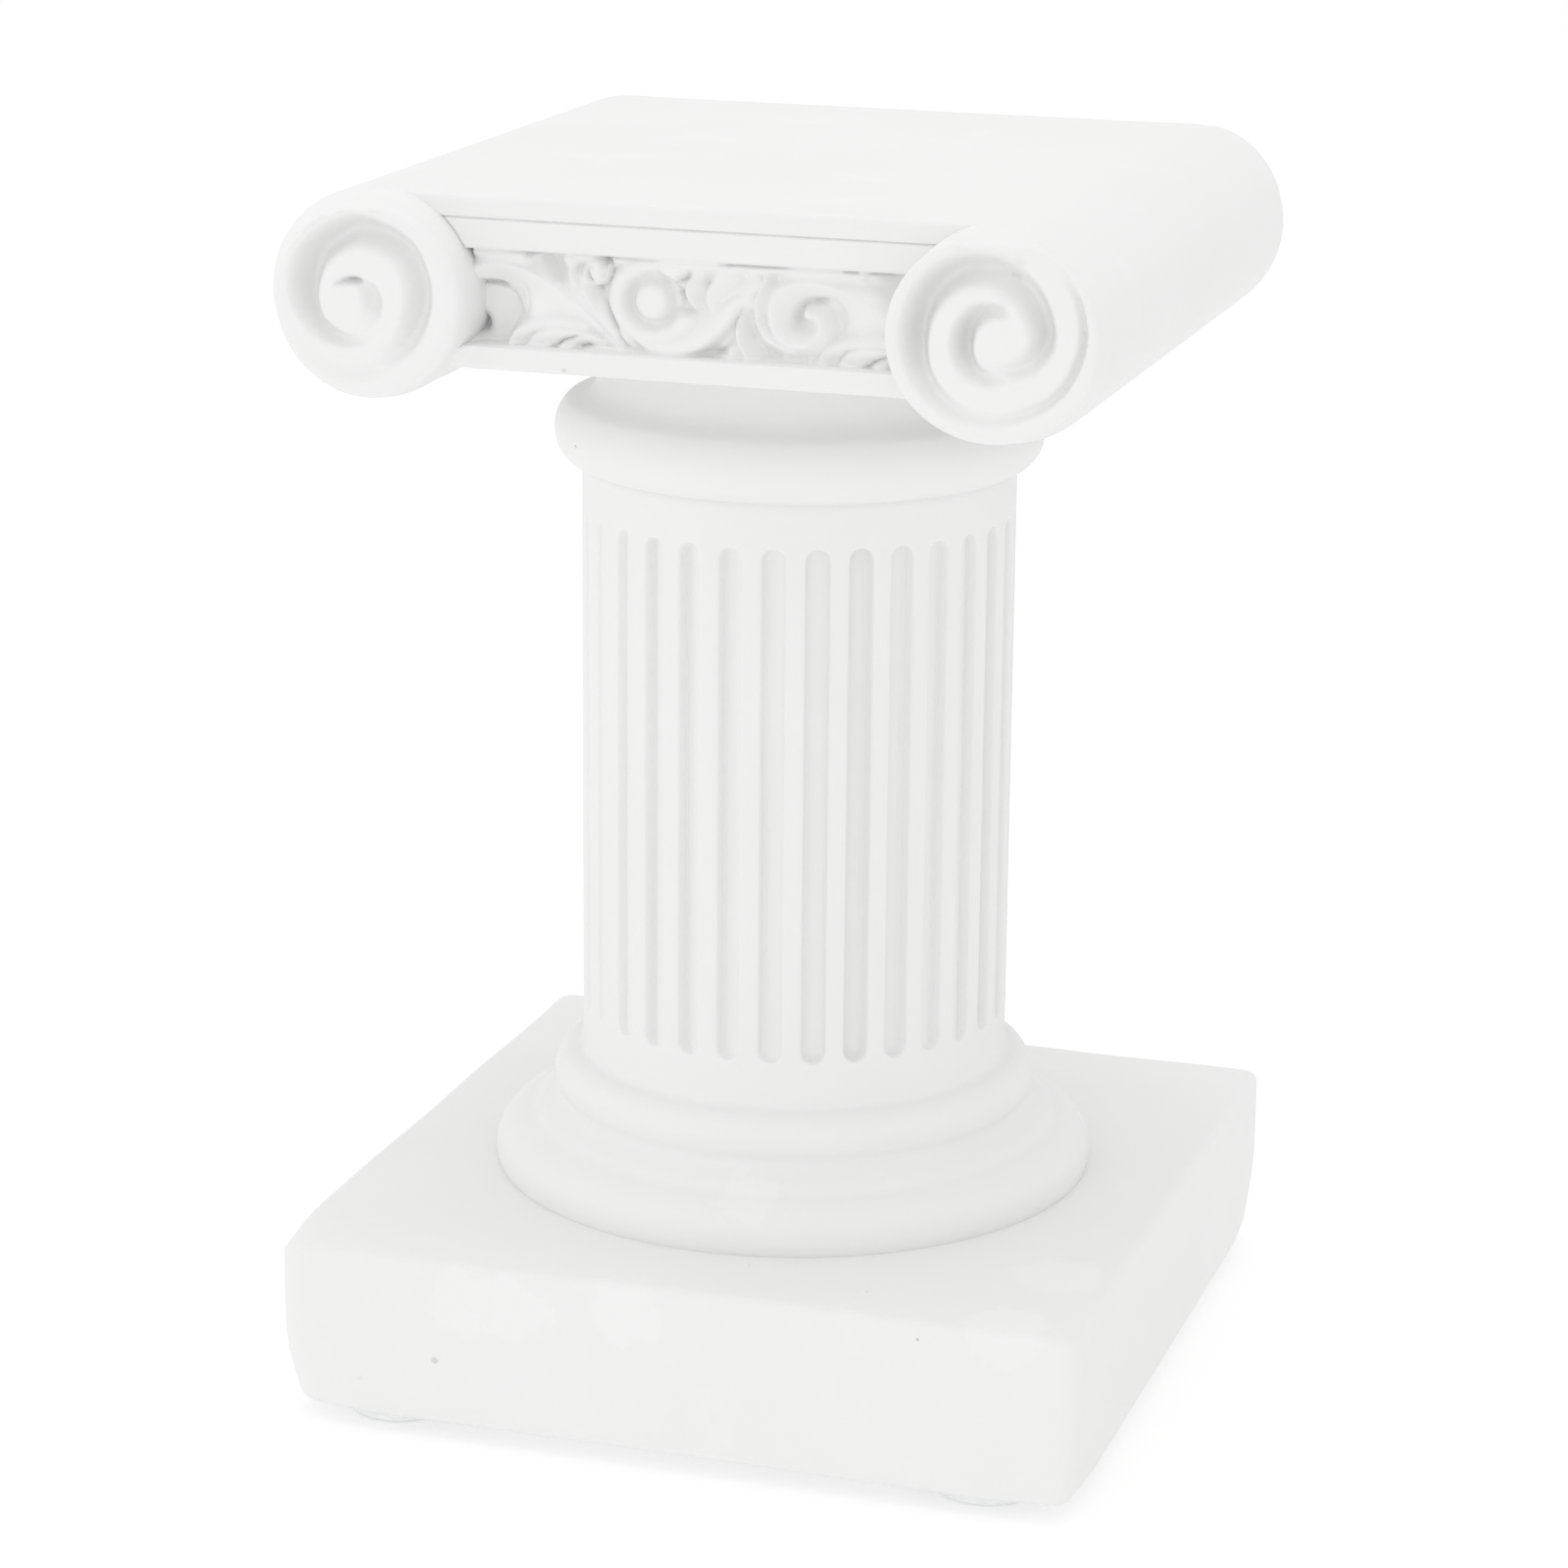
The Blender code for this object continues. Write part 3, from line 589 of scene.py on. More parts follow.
def section_rows(form, frieze_rows):
    """Heights and depths of the slab's face from top to foot, and which rows are carved.

    The rows go over the rounded top edge, the upper band, the groove, the lower band, into the
    panel, and out of it to the foot band and its rounded edge.
    """
    plane, edge = form.plane, SLAB_EDGE
    panel_top, panel_foot = PANEL_TOP + DATUM, PANEL_FOOT + DATUM
    bend = arc_steps(0, 90, 3)

    def near(height, *steps):
        return [(height + up, plane + out) for up, out in steps]

    rows = [(form.top - edge * (1 - math.cos(a)), plane - edge * (1 - math.sin(a))) for a in bend]
    rows += near(form.top, (-0.6, 0.0), (-1.2, 0.0))
    rows += near(BAND_LINE + DATUM, (0.42, 0.0), (0.14, 0.0), (0.07, -0.12), (0.01, -0.28), (-0.05, -0.20),
                 (-0.12, -0.07), (-0.22, -0.05), (-0.5, -0.05), (-1.3, -0.05))
    rows += near(panel_top, (0.45, -0.05), (0.16, -0.08), (0.05, -0.22), (0.0, -0.8), (-0.04, -1.7),
                 (-0.08, -form.panel_recess))
    first = len(rows)
    rows += [(z, plane - form.panel_recess)
             for z in np.linspace(panel_top - 0.18, panel_foot + 0.14, frieze_rows)]
    last = len(rows)
    rows += near(panel_foot, (0.06, -form.panel_recess), (0.03, -1.7), (0.0, -0.8), (-0.06, -0.2),
                 (-0.18, 0.0), (-0.45, 0.0))
    rows += near(form.slab_foot, (0.8, 0.0), (edge + 0.15, 0.0))
    rows += [(form.slab_foot + edge * (1 - math.sin(a)), plane - edge * (1 - math.cos(a))) for a in bend]
    return np.array(rows), first, last


def add_cap(shell, form, front, across_count, frieze_rows, rings, carve):
    """One end of the capital: the carved face between two volutes, and the volutes.

    Gives back the top row and the foot row of the carved face, from left to right as seen when
    facing this end.
    """
    left, right = drums_of(form, front)
    rows, first, last = section_rows(form, frieze_rows)
    roots = left.root(rows[:, 0]), right.root(rows[:, 0])
    x_left, x_right = -roots[0][:, :1], roots[1][:, :1]
    share = np.linspace(0, 1, across_count + 1)
    x = x_left + (x_right - x_left) * share
    z = rows[:, :1] + np.zeros_like(x)
    depth = rows[:, 1:] + np.zeros_like(x)
    depth[first:last] += carve(x[first:last], z[first:last] - DATUM)
    depth[first - 3:first] = np.maximum(depth[first - 3:first], depth[first])
    depth[last:last + 4] = np.maximum(depth[last:last + 4], depth[last - 1])
    depth = band_wear(form, front, x, z - DATUM, depth)
    facing = -1 if front else 1

    def place(x_here, depth_here, z_here):
        return np.stack([-facing * x_here, facing * depth_here, z_here], axis=-1)

    face = place(x, depth, z)
    shell.patch(face)
    for drum, root, column in ((left, roots[0], 0), (right, roots[1], -1)):
        add_volute(shell, form, drum, root, depth[:, column], rings, place)
    return face[0], face[-1]


def add_volute(shell, form, drum, flank_root, flank_depth, rings, place):
    """Wall of a volute from the slab out to its rim, and its face.

    The wall starts on the end of the carved face and then on the slab's roll, and its lines
    drift with a smooth S from there to the rim.
    """
    root_angle = drum.root_angle(flank_root[:, 1])
    spread = (root_angle - root_angle[-1]) / (root_angle[0] - root_angle[-1])
    upright, last_turn = math.pi / 2, math.pi - root_angle[-1]
    flank_rim = drum.rim(last_turn + (upright + drum.flat - last_turn) * spread)
    roll_root = outline_roll(form, flank_root[0, 0], flank_root[-1], 1.0)
    roll_rim = drum.rim(np.concatenate([
        np.linspace(upright + drum.flat, upright - drum.flat, ROLL_CHORD + 1)[:-1],
        np.linspace(upright - drum.flat, last_turn - 2 * math.pi, ROLL_STEPS - ROLL_CHORD + 1),
    ]))
    roll_rim[:ROLL_CHORD + 1, 1] = roll_rim[0, 1]
    rise = np.linspace(0, 1, WALL_STEPS + 1)[:, None]
    drift = ease(0.0, 1.0, rise)[..., None]
    rim_depth = form.face - drum.rim_round
    for root, rim, depths in ((flank_root[::-1], flank_rim[::-1], flank_depth[::-1]),
                              (roll_root, roll_rim, np.full(ROLL_STEPS + 1, flank_depth[0]))):
        line = root * (1 - drift) + rim * drift
        shell.patch(place(drum.side * line[..., 0], depths + (rim_depth - depths) * rise, line[..., 1]))
    add_face(shell, form, drum, np.concatenate([flank_rim[:0:-1], roll_rim[:-1]]), rings, place)


def add_face(shell, form, drum, loop, rings, place):
    """Face of a volute: its rounded rim, then rings that close in on the middle."""
    out = loop - drum.centre
    size = np.hypot(out[:, 0], out[:, 1])[:, None]
    bend = arc_steps(0, 90, RIM_STEPS)
    sizes = [size - drum.rim_round * (1 - np.cos(a)) for a in bend]
    sizes += [(size - drum.rim_round) * share for share in np.linspace(1, 0, rings + 1)[1:]]
    lines = drum.centre + out / size * np.array(sizes)
    reach = np.append(form.face - drum.rim_round + drum.rim_round * np.sin(bend), np.full(rings, form.face))
    whole = np.minimum(np.arange(len(lines)) / RIM_STEPS, 1)
    groove = spiral_depth(drum, lines[..., 0] - SPIRAL_X, lines[..., 1] - DATUM - SPIRAL_Z)
    reach = reach[:, None] - groove * whole[:, None]
    shell.patch(place(drum.side * lines[..., 0], reach, lines[..., 1]), closed=True)


def cove_of(form):
    """Middle of the cove that joins a bolster to the foot, where it starts, and its half way."""
    reach = form.bolster_radius + COVE_RADIUS
    tilt = math.asin((form.bolster_z - form.slab_foot + COVE_RADIUS) / reach)
    middle = (form.bolster_x - reach * math.cos(tilt), form.bolster_z - reach * math.sin(tilt))
    return middle, tilt, (tilt + math.pi / 2) / 2


def outline_roll(form, inner_x, corner, at_face):
    """The slab's outline from a volute's inner top point, over the roll, to the foot corner.

    It runs along the flat top, round the bolster and into the foot. At the face the corner is
    sharp. Behind it a cove joins the bolster to the foot, and the last steps run into it.
    """
    centre, steps = (form.bolster_x, form.bolster_z), ROLL_STEPS - ROLL_CHORD
    flat = pairs(np.linspace(inner_x, form.bolster_x, ROLL_CHORD + 1)[:-1], form.top)
    meet = math.asin((form.bolster_z - form.slab_foot) / form.bolster_radius)
    sharp = arc(centre, form.bolster_radius, np.linspace(math.pi / 2, meet - math.pi, steps + 1))
    sharp += (corner - sharp[-1]) * np.linspace(0, 1, len(sharp))[:, None] ** 6
    middle, tilt, halfway = cove_of(form)
    soft = np.vstack([
        arc(centre, form.bolster_radius, np.linspace(math.pi / 2, tilt - math.pi, steps - 3)),
        arc(middle, COVE_RADIUS, np.linspace(tilt, halfway, 5)[1:]),
    ])
    return np.vstack([flat, sharp * at_face + soft * (1 - at_face)])


def foot_line(form, corner_right, corner_left, at_face):
    """The slab's underside from right to left: flat, with the outer ends of the coves."""
    middle, _, halfway = cove_of(form)
    end_x = middle[0] + COVE_RADIUS * math.cos(halfway)
    soft_x = np.linspace(end_x, -end_x, ACROSS + 1)
    into = np.clip(np.abs(soft_x) - middle[0], 0, COVE_RADIUS)
    soft_z = form.slab_foot - COVE_RADIUS + np.sqrt(COVE_RADIUS**2 - into**2)
    sharp_x = np.linspace(corner_right, corner_left, ACROSS + 1)
    return pairs(sharp_x, form.slab_foot) * at_face + pairs(soft_x, soft_z) * (1 - at_face)


def capital_body(form):
    """Slab, bolsters, volutes and carved panels as one closed surface.

    Between the two ends the slab's outline is carried along Y: sharp at each face, and easing
    within 2.6 mm to the outline with coves.
    """
    shell = Shell()
    front_top, front_foot = add_cap(shell, form, True, FRONT_ACROSS, FRONT_ROWS, FRONT_RINGS,
                                    front_carving(form))
    back_top, back_foot = add_cap(shell, form, False, BACK_ACROSS, BACK_ROWS, BACK_RINGS,
                                  back_carving(form))
    start = SLAB_EDGE - form.plane
    rows = start + np.array([0.0, 0.5, 1.2, 2.2, 3.6, 6.0, 10.0, 16.0, 24.0, -start])
    rows = np.concatenate([rows, -rows[-2::-1]])
    at_face = 1 - ease(0.0, 2.6, np.minimum(rows - rows[0], rows[-1] - rows))
    groups = [], [], [], []
    for y, face, share in zip(rows, at_face, (rows - rows[0]) / (rows[-1] - rows[0])):
        left, right = front_top[[0, -1], 0] * (1 - share) + back_top[[-1, 0], 0] * share
        foot_left, foot_right = front_foot[[0, -1], 0] * (1 - share) + back_foot[[-1, 0], 0] * share
        lines = (pairs(np.linspace(left, right, ACROSS + 1), form.top),
                 foot_line(form, foot_right, foot_left, face),
                 outline_roll(form, right, (foot_right, form.slab_foot), face),
                 outline_roll(form, -left, (-foot_left, form.slab_foot), face) * (-1, 1))
        for group, line in zip(groups, lines):
            group.append(np.insert(line, 1, y, axis=1))
    tops, feet, rights, lefts = (np.array(group) for group in groups)
    shell.reduce(front_top, tops[1])
    shell.patch(tops[1:-1])
    shell.reduce(back_top[::-1], tops[-2])
    shell.reduce(front_foot[::-1], feet[1])
    shell.patch(feet[1:-1])
    shell.reduce(back_foot, feet[-2])
    shell.patch(rights)
    shell.patch(lefts)
    return shell


# Carving

def strand(x, z, ground, points, left, right, height, left_power=1.2, right_power=1.2):
    """Surface of one carved strand: a crest line with its own width and slope on each side.

    Across each side it falls to the ground as (1 - t^power)^1.4, where t is the share of the
    width. A power near 2 gives a round back and one near 1 a crest with a hollow side.
    """
    gap, share, lean = nearest_on(curve_through(points), x, z)
    blend = np.clip(0.5 + 0.5 * lean, 0, 1)
    width = spread_along(right, share) * (1 - blend) + spread_along(left, share) * blend
    power = right_power * (1 - blend) + left_power * blend
    fall = np.clip(gap / width, 0, 1) ** power
    return ground + (spread_along(height, share) - ground) * (1 - fall) ** 1.4


def mound(x, z, centre_x, centre_z, across, up, height, power=2.0):
    """Height of a round swelling with an edge."""
    fall = np.clip(np.hypot((x - centre_x) / across, (z - centre_z) / up), 0, 1)
    return height * (1 - fall**power)


def swell(x, z, centre_x, centre_z, across, up, height):
    """Height of a soft swelling that dies away, or of a hollow where the height is negative."""
    return height * np.exp(-((x - centre_x) / across) ** 2 - ((z - centre_z) / up) ** 2)


def crease(x, z, points, width, depth):
    """Depth of a narrow cut along a line."""
    gap, share, _ = nearest_on(curve_through(points), x, z)
    fall = np.clip(gap / width, 0, 1)
    return spread_along(depth, share) * (1 - fall) ** 1.3


def within(value, low, high, soft=0.5):
    """1 between low and high, with a soft step at each end."""
    return ease(low - soft, low + soft, value) * (1 - ease(high - soft, high + soft, value))


# Height of the carving that the places and heights below are given for.
CARVED_HEIGHT = 2.7

# The front frieze repeats after this length.
PERIOD = 29.8

# Soft swellings and hollows of the front frieze's ground: the middle's place along and up the
# panel, the reach along and up, and the height.
REPEATED_SWELLS = ((17.6, 109.9, 2.9, 1.9, 1.2), (16.6, 106.6, 3.2, 1.2, 1.1))
GROUND_SWELLS = (
    (16.9, 112.3, 2.2, 1.0, 1.1), (7.4, 111.0, 0.8, 2.4, 0.6), (6.1, 110.9, 0.5, 0.9, 0.9),
    (4.4, 109.0, 1.0, 1.4, 0.4), (4.3, 106.2, 0.9, 0.9, 1.0), (-11.0, 112.6, 0.6, 1.6, 1.4),
    (-10.2, 110.6, 0.4, 1.0, 0.9), (-7.5, 113.0, 0.6, 1.3, 1.2), (1.6, 111.6, 0.7, 0.7, 0.2),
    (-14.7, 109.4, 1.3, 1.6, 1.1), (-0.4, 112.3, 0.6, 0.9, 0.8), (6.4, 107.9, 0.7, 0.8, -0.5),
    (7.7, 106.6, 0.9, 0.5, -0.4), (10.1, 109.2, 1.2, 1.0, -0.9), (14.0, 109.8, 0.8, 1.2, -0.8),
    (-4.6, 105.4, 1.8, 0.8, 0.5),
)

# Beads of plaster left in the front frieze, as (place along, place up, radius).
NODULES = (
    (5.7, 113.3, 0.28), (6.9, 113.1, 0.26), (8.6, 113.1, 0.22), (-12.25, 111.6, 0.32),
    (-15.1, 113.6, 0.30), (-7.35, 113.4, 0.28), (9.3, 106.0, 0.24), (9.7, 106.05, 0.22),
    (11.6, 105.95, 0.26), (16.8, 113.9, 0.4), (-5.5, 105.7, 0.22), (-5.15, 105.75, 0.2),
    (7.3, 106.35, 0.2),
)


def front_ground(x, z):
    """Surface under the front carving: well up in the panel, and let down in a few places."""
    under_band = 0.35 * within(x, -15.5, -12.4, 0.4)
    under_band += 1.35 * (within(x, -20.7, -15.5, 0.15) + within(x, -12.0, -8.2)
                          + within(x, -7.0, 18.6, 0.8))
    ground = 1.0 + 1.6 * (1 - ease(105.3, 106.1, z)) + under_band * ease(112.9, 113.9, z)
    ground += 0.6 * ease(112.2, 113.2, z) * within(x, -2.6, 3.6)
    for settings in REPEATED_SWELLS:
        ground += swell(x + PERIOD, z, *settings) + swell(x, z, *settings)
    for settings in GROUND_SWELLS:
        ground += swell(x, z, *settings)
    return ground


def inside_of(x, z, corners, soft):
    """1 well inside a shape of straight sides given in turning order, easing to 0 at its edge."""
    share = np.ones_like(x)
    for (x0, z0), (x1, z1) in zip(corners, corners[1:] + corners[:1]):
        reach = np.hypot(x1 - x0, z1 - z0)
        inward = ((x - x0) * (z1 - z0) - (z - z0) * (x1 - x0)) / reach
        share = np.minimum(share, ease(0.0, soft, inward))
    return share


class Relief:
    """Heights of a carved panel over its floor, which the carver's strokes change in turn."""

    def __init__(self, x, z, ground):
        self.x, self.z = x, z
        self.ground = ground
        self.level = ground.copy()
        self.cut = np.zeros_like(x)

    def moved(self, shift):
        """The same relief, for strokes whose places are counted from further along."""
        other = copy.copy(self)
        other.x = self.x - shift
        return other

    def raise_to(self, height):
        """Lift whatever lies lower than a height."""
        np.maximum(self.level, height, out=self.level)

    def strand(self, points, left, right, height, left_power, right_power):
        """Lay a strand on the ground."""
        self.raise_to(strand(self.x, self.z, self.ground, points, left, right, height,
                             left_power, right_power))

    def crease(self, points, width, depth):
        """Mark a cut along a line."""
        np.maximum(self.cut, crease(self.x, self.z, points, width, depth), out=self.cut)


def carve_spray(relief):
    """The long leaf that bends over a scroll's right side, with four leaf tips under it."""
    relief.strand([(24.0, 106.8), (21.0, 109.0), (18.5, 110.5), (16.5, 111.6), (15.0, 112.2),
                   (13.5, 112.7), (11.8, 112.95), (10.2, 112.8), (8.9, 112.2)],
                  (2.2, 2.0, 1.9, 1.9, 2.1, 2.5), (2.0, 2.0, 2.0, 1.9, 0.9),
                  (2.4, 2.5, 2.65, 2.7, 2.7, 2.65), 1.15, 1.2)
    relief.crease([(13.3, 111.3), (14.2, 110.9), (14.75, 110.0), (14.6, 109.0), (13.8, 108.0)],
                  0.4, (0.05, 0.2, 0.25, 0.25, 0.3))
    relief.strand([(12.4, 105.2), (13.0, 106.4), (13.8, 107.15), (15.2, 107.7), (17.5, 108.0),
                   (20.0, 107.8)],
                  (0.5, 0.6, 0.9), (1.0, 1.4, 1.4), (2.4, 2.5, 2.45), 1.5, 1.4)
    relief.strand([(14.1, 105.1), (14.7, 106.1), (15.5, 106.75), (16.8, 107.1), (18.5, 107.2),
                   (21.0, 106.9)],
                  0.35, (0.9, 1.2, 1.2), (2.35, 2.5, 2.45), 1.6, 1.5)
    relief.strand([(16.2, 105.0), (17.3, 105.75), (18.4, 106.3), (20.0, 106.7), (22.0, 106.5)],
                  0.3, 1.0, (2.3, 2.4, 2.4), 1.6, 1.6)
    relief.strand([(19.0, 105.0), (20.2, 105.7), (21.6, 105.95), (23.0, 105.8)],
                  0.3, 0.8, (2.2, 2.4, 2.3), 1.6, 1.6)
    relief.crease([(13.6, 105.6), (14.3, 105.8), (14.75, 106.4), (15.3, 106.95), (16.5, 107.5)],
                  0.32, (0.3, 0.7, 0.5, 0.35, 0.05))
    relief.crease([(15.9, 105.4), (16.7, 105.6), (17.3, 105.75), (17.9, 106.2), (18.9, 106.6),
                   (19.7, 106.9)],
                  0.27, (0.2, 0.7, 1.3, 0.9, 0.7, 0.1))
    relief.crease([(18.9, 105.6), (19.8, 105.8), (20.6, 105.9), (21.3, 105.8)], 0.25, (0.3, 0.9, 0.8, 0.1))


def carve_right_scroll(relief):
    """The scroll that opens downwards and winds in to a small bud."""
    relief.strand([(10.2, 112.8), (8.9, 112.2), (8.2, 111.3), (8.0, 110.2), (8.15, 109.0), (8.6, 108.0),
                   (9.4, 107.35), (10.5, 107.05), (11.7, 107.3), (12.5, 107.95), (12.75, 108.9),
                   (12.45, 109.75), (11.7, 110.25)],
                  (2.4, 2.7, 2.8, 2.2, 1.8, 1.4, 1.2), (1.4, 0.8, 0.9, 1.2, 1.7, 1.7, 1.3),
                  (2.65, 2.65, 2.6, 2.45, 2.4, 2.5, 2.5), 1.1, 1.2)
    relief.raise_to(relief.ground + mound(relief.x, relief.z, 11.6, 110.05, 0.8, 0.75, 1.7, 2.6))
    relief.crease([(10.0, 108.4), (10.3, 109.6), (10.7, 110.5), (11.4, 111.0), (12.6, 111.3),
                   (13.7, 111.35), (14.6, 110.7)], 0.5, (0.1, 0.6, 1.0, 0.9, 0.9, 0.5, 0.1))


def carve_middle_scroll(relief):
    """The scroll that opens upwards round a button in a ring, with two petals at its right."""
    x, z = relief.x, relief.z
    relief.strand([(6.6, 112.3), (5.4, 110.75), (4.2, 109.15), (3.0, 107.75), (1.6, 106.6), (0.0, 106.0),
                   (-1.7, 105.8), (-3.4, 106.1), (-4.9, 107.0)],
                  (0.7, 0.7, 0.7, 0.6), (2.4, 3.4, 3.9, 3.5), (2.5, 2.6, 2.7, 2.65), 1.6, 1.5)
    beside_petals = 1 - ease(-0.9, -0.3, x) * ease(109.0, 110.2, z)
    relief.raise_to(mound(x, z, -3.15, 110.45, 4.75, 4.75, 2.65, 14.0) * beside_petals)
    across, above = x + 3.25, z - 110.4
    reach = np.hypot(across, above)
    moat = 1.45 + 0.25 * np.cos(2 * np.arctan2(above, across))
    relief.level -= moat * np.exp(-((reach - 2.15) / 0.55) ** 2) * (reach < 4.6)
    relief.raise_to(mound(x, z, -1.1, 113.5, 1.6, 0.95, 2.75, 10.0))
    relief.crease([(-2.4, 112.4), (-1.5, 112.25), (-0.9, 111.7), (-0.5, 111.1), (-0.35, 110.2)],
                  0.35, (0.2, 0.6, 1.0, 1.0, 0.1))
    relief.crease([(-2.75, 113.9), (-2.6, 113.0), (-2.0, 112.5), (-1.0, 112.3), (0.0, 112.6), (0.6, 113.2)],
                  0.3, (0.1, 0.5, 0.6, 0.6, 0.6, 0.2))
    relief.strand([(1.1, 113.5), (0.5, 112.6), (0.15, 111.7), (0.2, 110.9), (0.7, 110.1)],
                  (1.7, 1.9, 1.2), 0.5, (2.6, 2.7, 2.2), 1.0, 1.5)
    relief.strand([(3.4, 113.4), (2.6, 112.4), (2.15, 111.4), (2.15, 110.5), (2.6, 109.7)],
                  (2.6, 2.8, 1.6), 0.55, (2.65, 2.75, 2.3), 1.2, 1.5)
    relief.crease([(1.75, 111.5), (1.9, 112.1), (2.4, 112.5), (3.3, 112.8)], 0.28, (0.1, 0.3, 0.35, 0.1))
    relief.crease([(3.1, 110.1), (3.8, 110.8), (4.6, 111.3), (5.5, 111.9)], 0.35, (0.1, 0.25, 0.25, 0.05))


def carve_stems(relief):
    """The two stems that part the middle scroll from the right one."""
    relief.strand([(7.5, 113.1), (7.05, 112.1), (6.75, 111.0), (6.7, 110.0), (6.85, 109.1), (7.25, 108.3),
                   (7.9, 107.6), (8.9, 107.0), (10.2, 106.5)],
                  (0.6, 0.6, 0.7, 0.9, 0.9), (0.5, 0.5, 0.8, 1.3, 1.0), (2.5, 2.6, 2.6, 2.45, 2.3),
                  1.2, 1.3)
    relief.strand([(6.4, 111.9), (5.9, 110.7), (5.4, 109.7), (5.05, 108.9), (4.9, 108.1), (4.97, 107.3),
                   (5.25, 106.6), (5.65, 105.9), (6.1, 105.2)],
                  (0.5, 0.8, 1.3, 1.4), 0.5, (2.4, 2.55, 2.55, 2.4), 0.95, 1.6)
    relief.crease([(5.55, 110.9), (5.0, 109.9), (4.6, 109.0), (4.4, 108.1), (4.1, 107.2), (3.3, 106.2),
                   (2.2, 105.75), (0.3, 105.5)], 0.4, (0.1, 0.4, 0.3, 0.1, 0.15, 0.7, 0.9, 0.2))


def carve_sprig(relief):
    """The sprig with a curled bud and the two long leaves at its left."""
    relief.strand([(-5.6, 105.6), (-6.9, 107.0), (-8.4, 108.65), (-9.4, 110.1), (-9.85, 111.2),
                   (-10.0, 112.2)],
                  (0.5, 0.6, 0.6, 0.7), (0.6, 0.9, 1.3, 1.5), (2.4, 2.6, 2.7, 2.7), 1.4, 1.15)
    relief.raise_to(mound(relief.x, relief.z, -8.6, 112.75, 1.52, 1.5, 2.8, 8.0))
    relief.crease([(-9.0, 113.5), (-9.3, 112.9), (-9.2, 112.35), (-8.9, 112.0), (-8.3, 111.8)],
                  0.38, (0.3, 0.9, 1.3, 0.9, 0.2))
    relief.crease([(-7.75, 114.0), (-7.7, 113.2), (-7.8, 112.5), (-8.1, 111.9)], 0.45, (0.9, 0.9, 0.7, 0.2))
    relief.crease([(-7.5, 114.0), (-7.15, 113.4), (-7.2, 112.4), (-7.6, 111.75), (-8.2, 111.45),
                   (-9.0, 111.5)], 0.28, (1.2, 0.9, 0.5, 0.3, 0.6, 0.2))
    relief.crease([(-8.5, 111.35), (-8.2, 110.8), (-7.75, 109.9), (-7.2, 108.95), (-6.75, 107.95),
                   (-6.2, 106.8), (-5.5, 105.9), (-5.1, 105.6)],
                  0.30, (1.0, 0.3, 0.5, 0.9, 0.9, 0.6, 0.4, 0.4))
    relief.strand([(-6.2, 105.7), (-8.3, 107.85), (-10.7, 110.0), (-12.1, 110.95), (-13.6, 111.8),
                   (-15.1, 112.5), (-17.0, 112.95), (-19.0, 113.0)],
                  (0.9, 1.8, 2.6, 2.6, 1.9), (0.5, 0.7, 0.9, 1.2, 1.6), (2.4, 2.6, 2.75, 2.75, 2.7),
                  1.3, 1.05)
    relief.strand([(-6.6, 106.2), (-7.6, 107.1), (-8.9, 108.0), (-10.2, 108.8)],
                  (0.5, 0.8, 0.7), 0.4, (2.4, 2.6, 2.55, 2.3), 1.4, 1.2)
    relief.crease([(-13.3, 113.9), (-12.5, 112.7), (-11.6, 111.6), (-10.6, 110.5), (-9.4, 109.2),
                   (-8.3, 108.0)], 1.0, (0.9, 0.9, 0.6, 0.45, 0.3, 0.05))
    relief.crease([(-10.2, 113.7), (-10.5, 112.7), (-10.4, 111.5), (-9.9, 110.4)],
                  0.35, (0.05, 0.2, 0.2, 0.05))


def carve_left_hollow(relief):
    """The open hollow at the left end, with a deeper pit in it and a sharp cut round it."""
    x, z = relief.x, relief.z
    share = inside_of(x, z, [(-22.0, 111.25), (-18.0, 111.1), (-16.75, 110.2), (-15.9, 108.7),
                             (-17.55, 105.6), (-22.0, 105.6)], 0.35)
    floor = 0.3 + swell(x, z, -20.8, 106.9, 0.85, 0.95, -3.0)
    relief.level += (np.minimum(relief.level, floor) - relief.level) * share
    relief.crease([(-20.8, 111.05), (-19.3, 111.05), (-18.2, 110.95), (-17.3, 110.6)],
                  0.42, (1.2, 1.6, 1.1, 0.1))
    relief.crease([(-21.0, 105.55), (-19.0, 105.55), (-17.6, 105.65), (-17.0, 106.6), (-16.0, 108.4),
                   (-16.2, 109.4), (-17.0, 110.4)], 0.3, (1.5, 1.6, 1.5, 0.6, 0.4, 0.4, 0.3))


def front_carving(form):
    """Function that gives the height of the front frieze over the panel's floor.

    Running foliage: a scroll that opens downwards stands at the right and, a period away, at
    the left; between them lies one that opens upwards, with petals, a curled sprig and leaves.
    """
    def carve(x, z):
        relief = Relief(x, z, front_ground(x, z))
        for shift in (-PERIOD, 0.0):
            carve_spray(relief.moved(shift))
        for stroke in (carve_right_scroll, carve_middle_scroll, carve_stems, carve_sprig,
                       carve_left_hollow):
            stroke(relief)
        lip = within(x, 3.6, 9.6, 0.8) + within(x, 14.9, 16.2, 0.2) + within(x, 17.4, 19.4, 0.2)
        lip += 0.5 * within(x, -17.0, -12.9) + 0.4 * within(x, -7.4, -2.9)
        under_edge = 1 - ease(0.05, 0.30, PANEL_TOP - 0.04 - z)
        cut = np.maximum(relief.cut, (0.08 + 0.6 * lip) * under_edge)
        level = relief.level
        for along, up, size in NODULES:
            level += mound(x, z, along, up, size, size * 1.3, 0.5)
        made = np.clip(soften(soften(level)) - soften(cut), -1.6, 3.0)
        return made * form.relief_height / CARVED_HEIGHT

    return carve


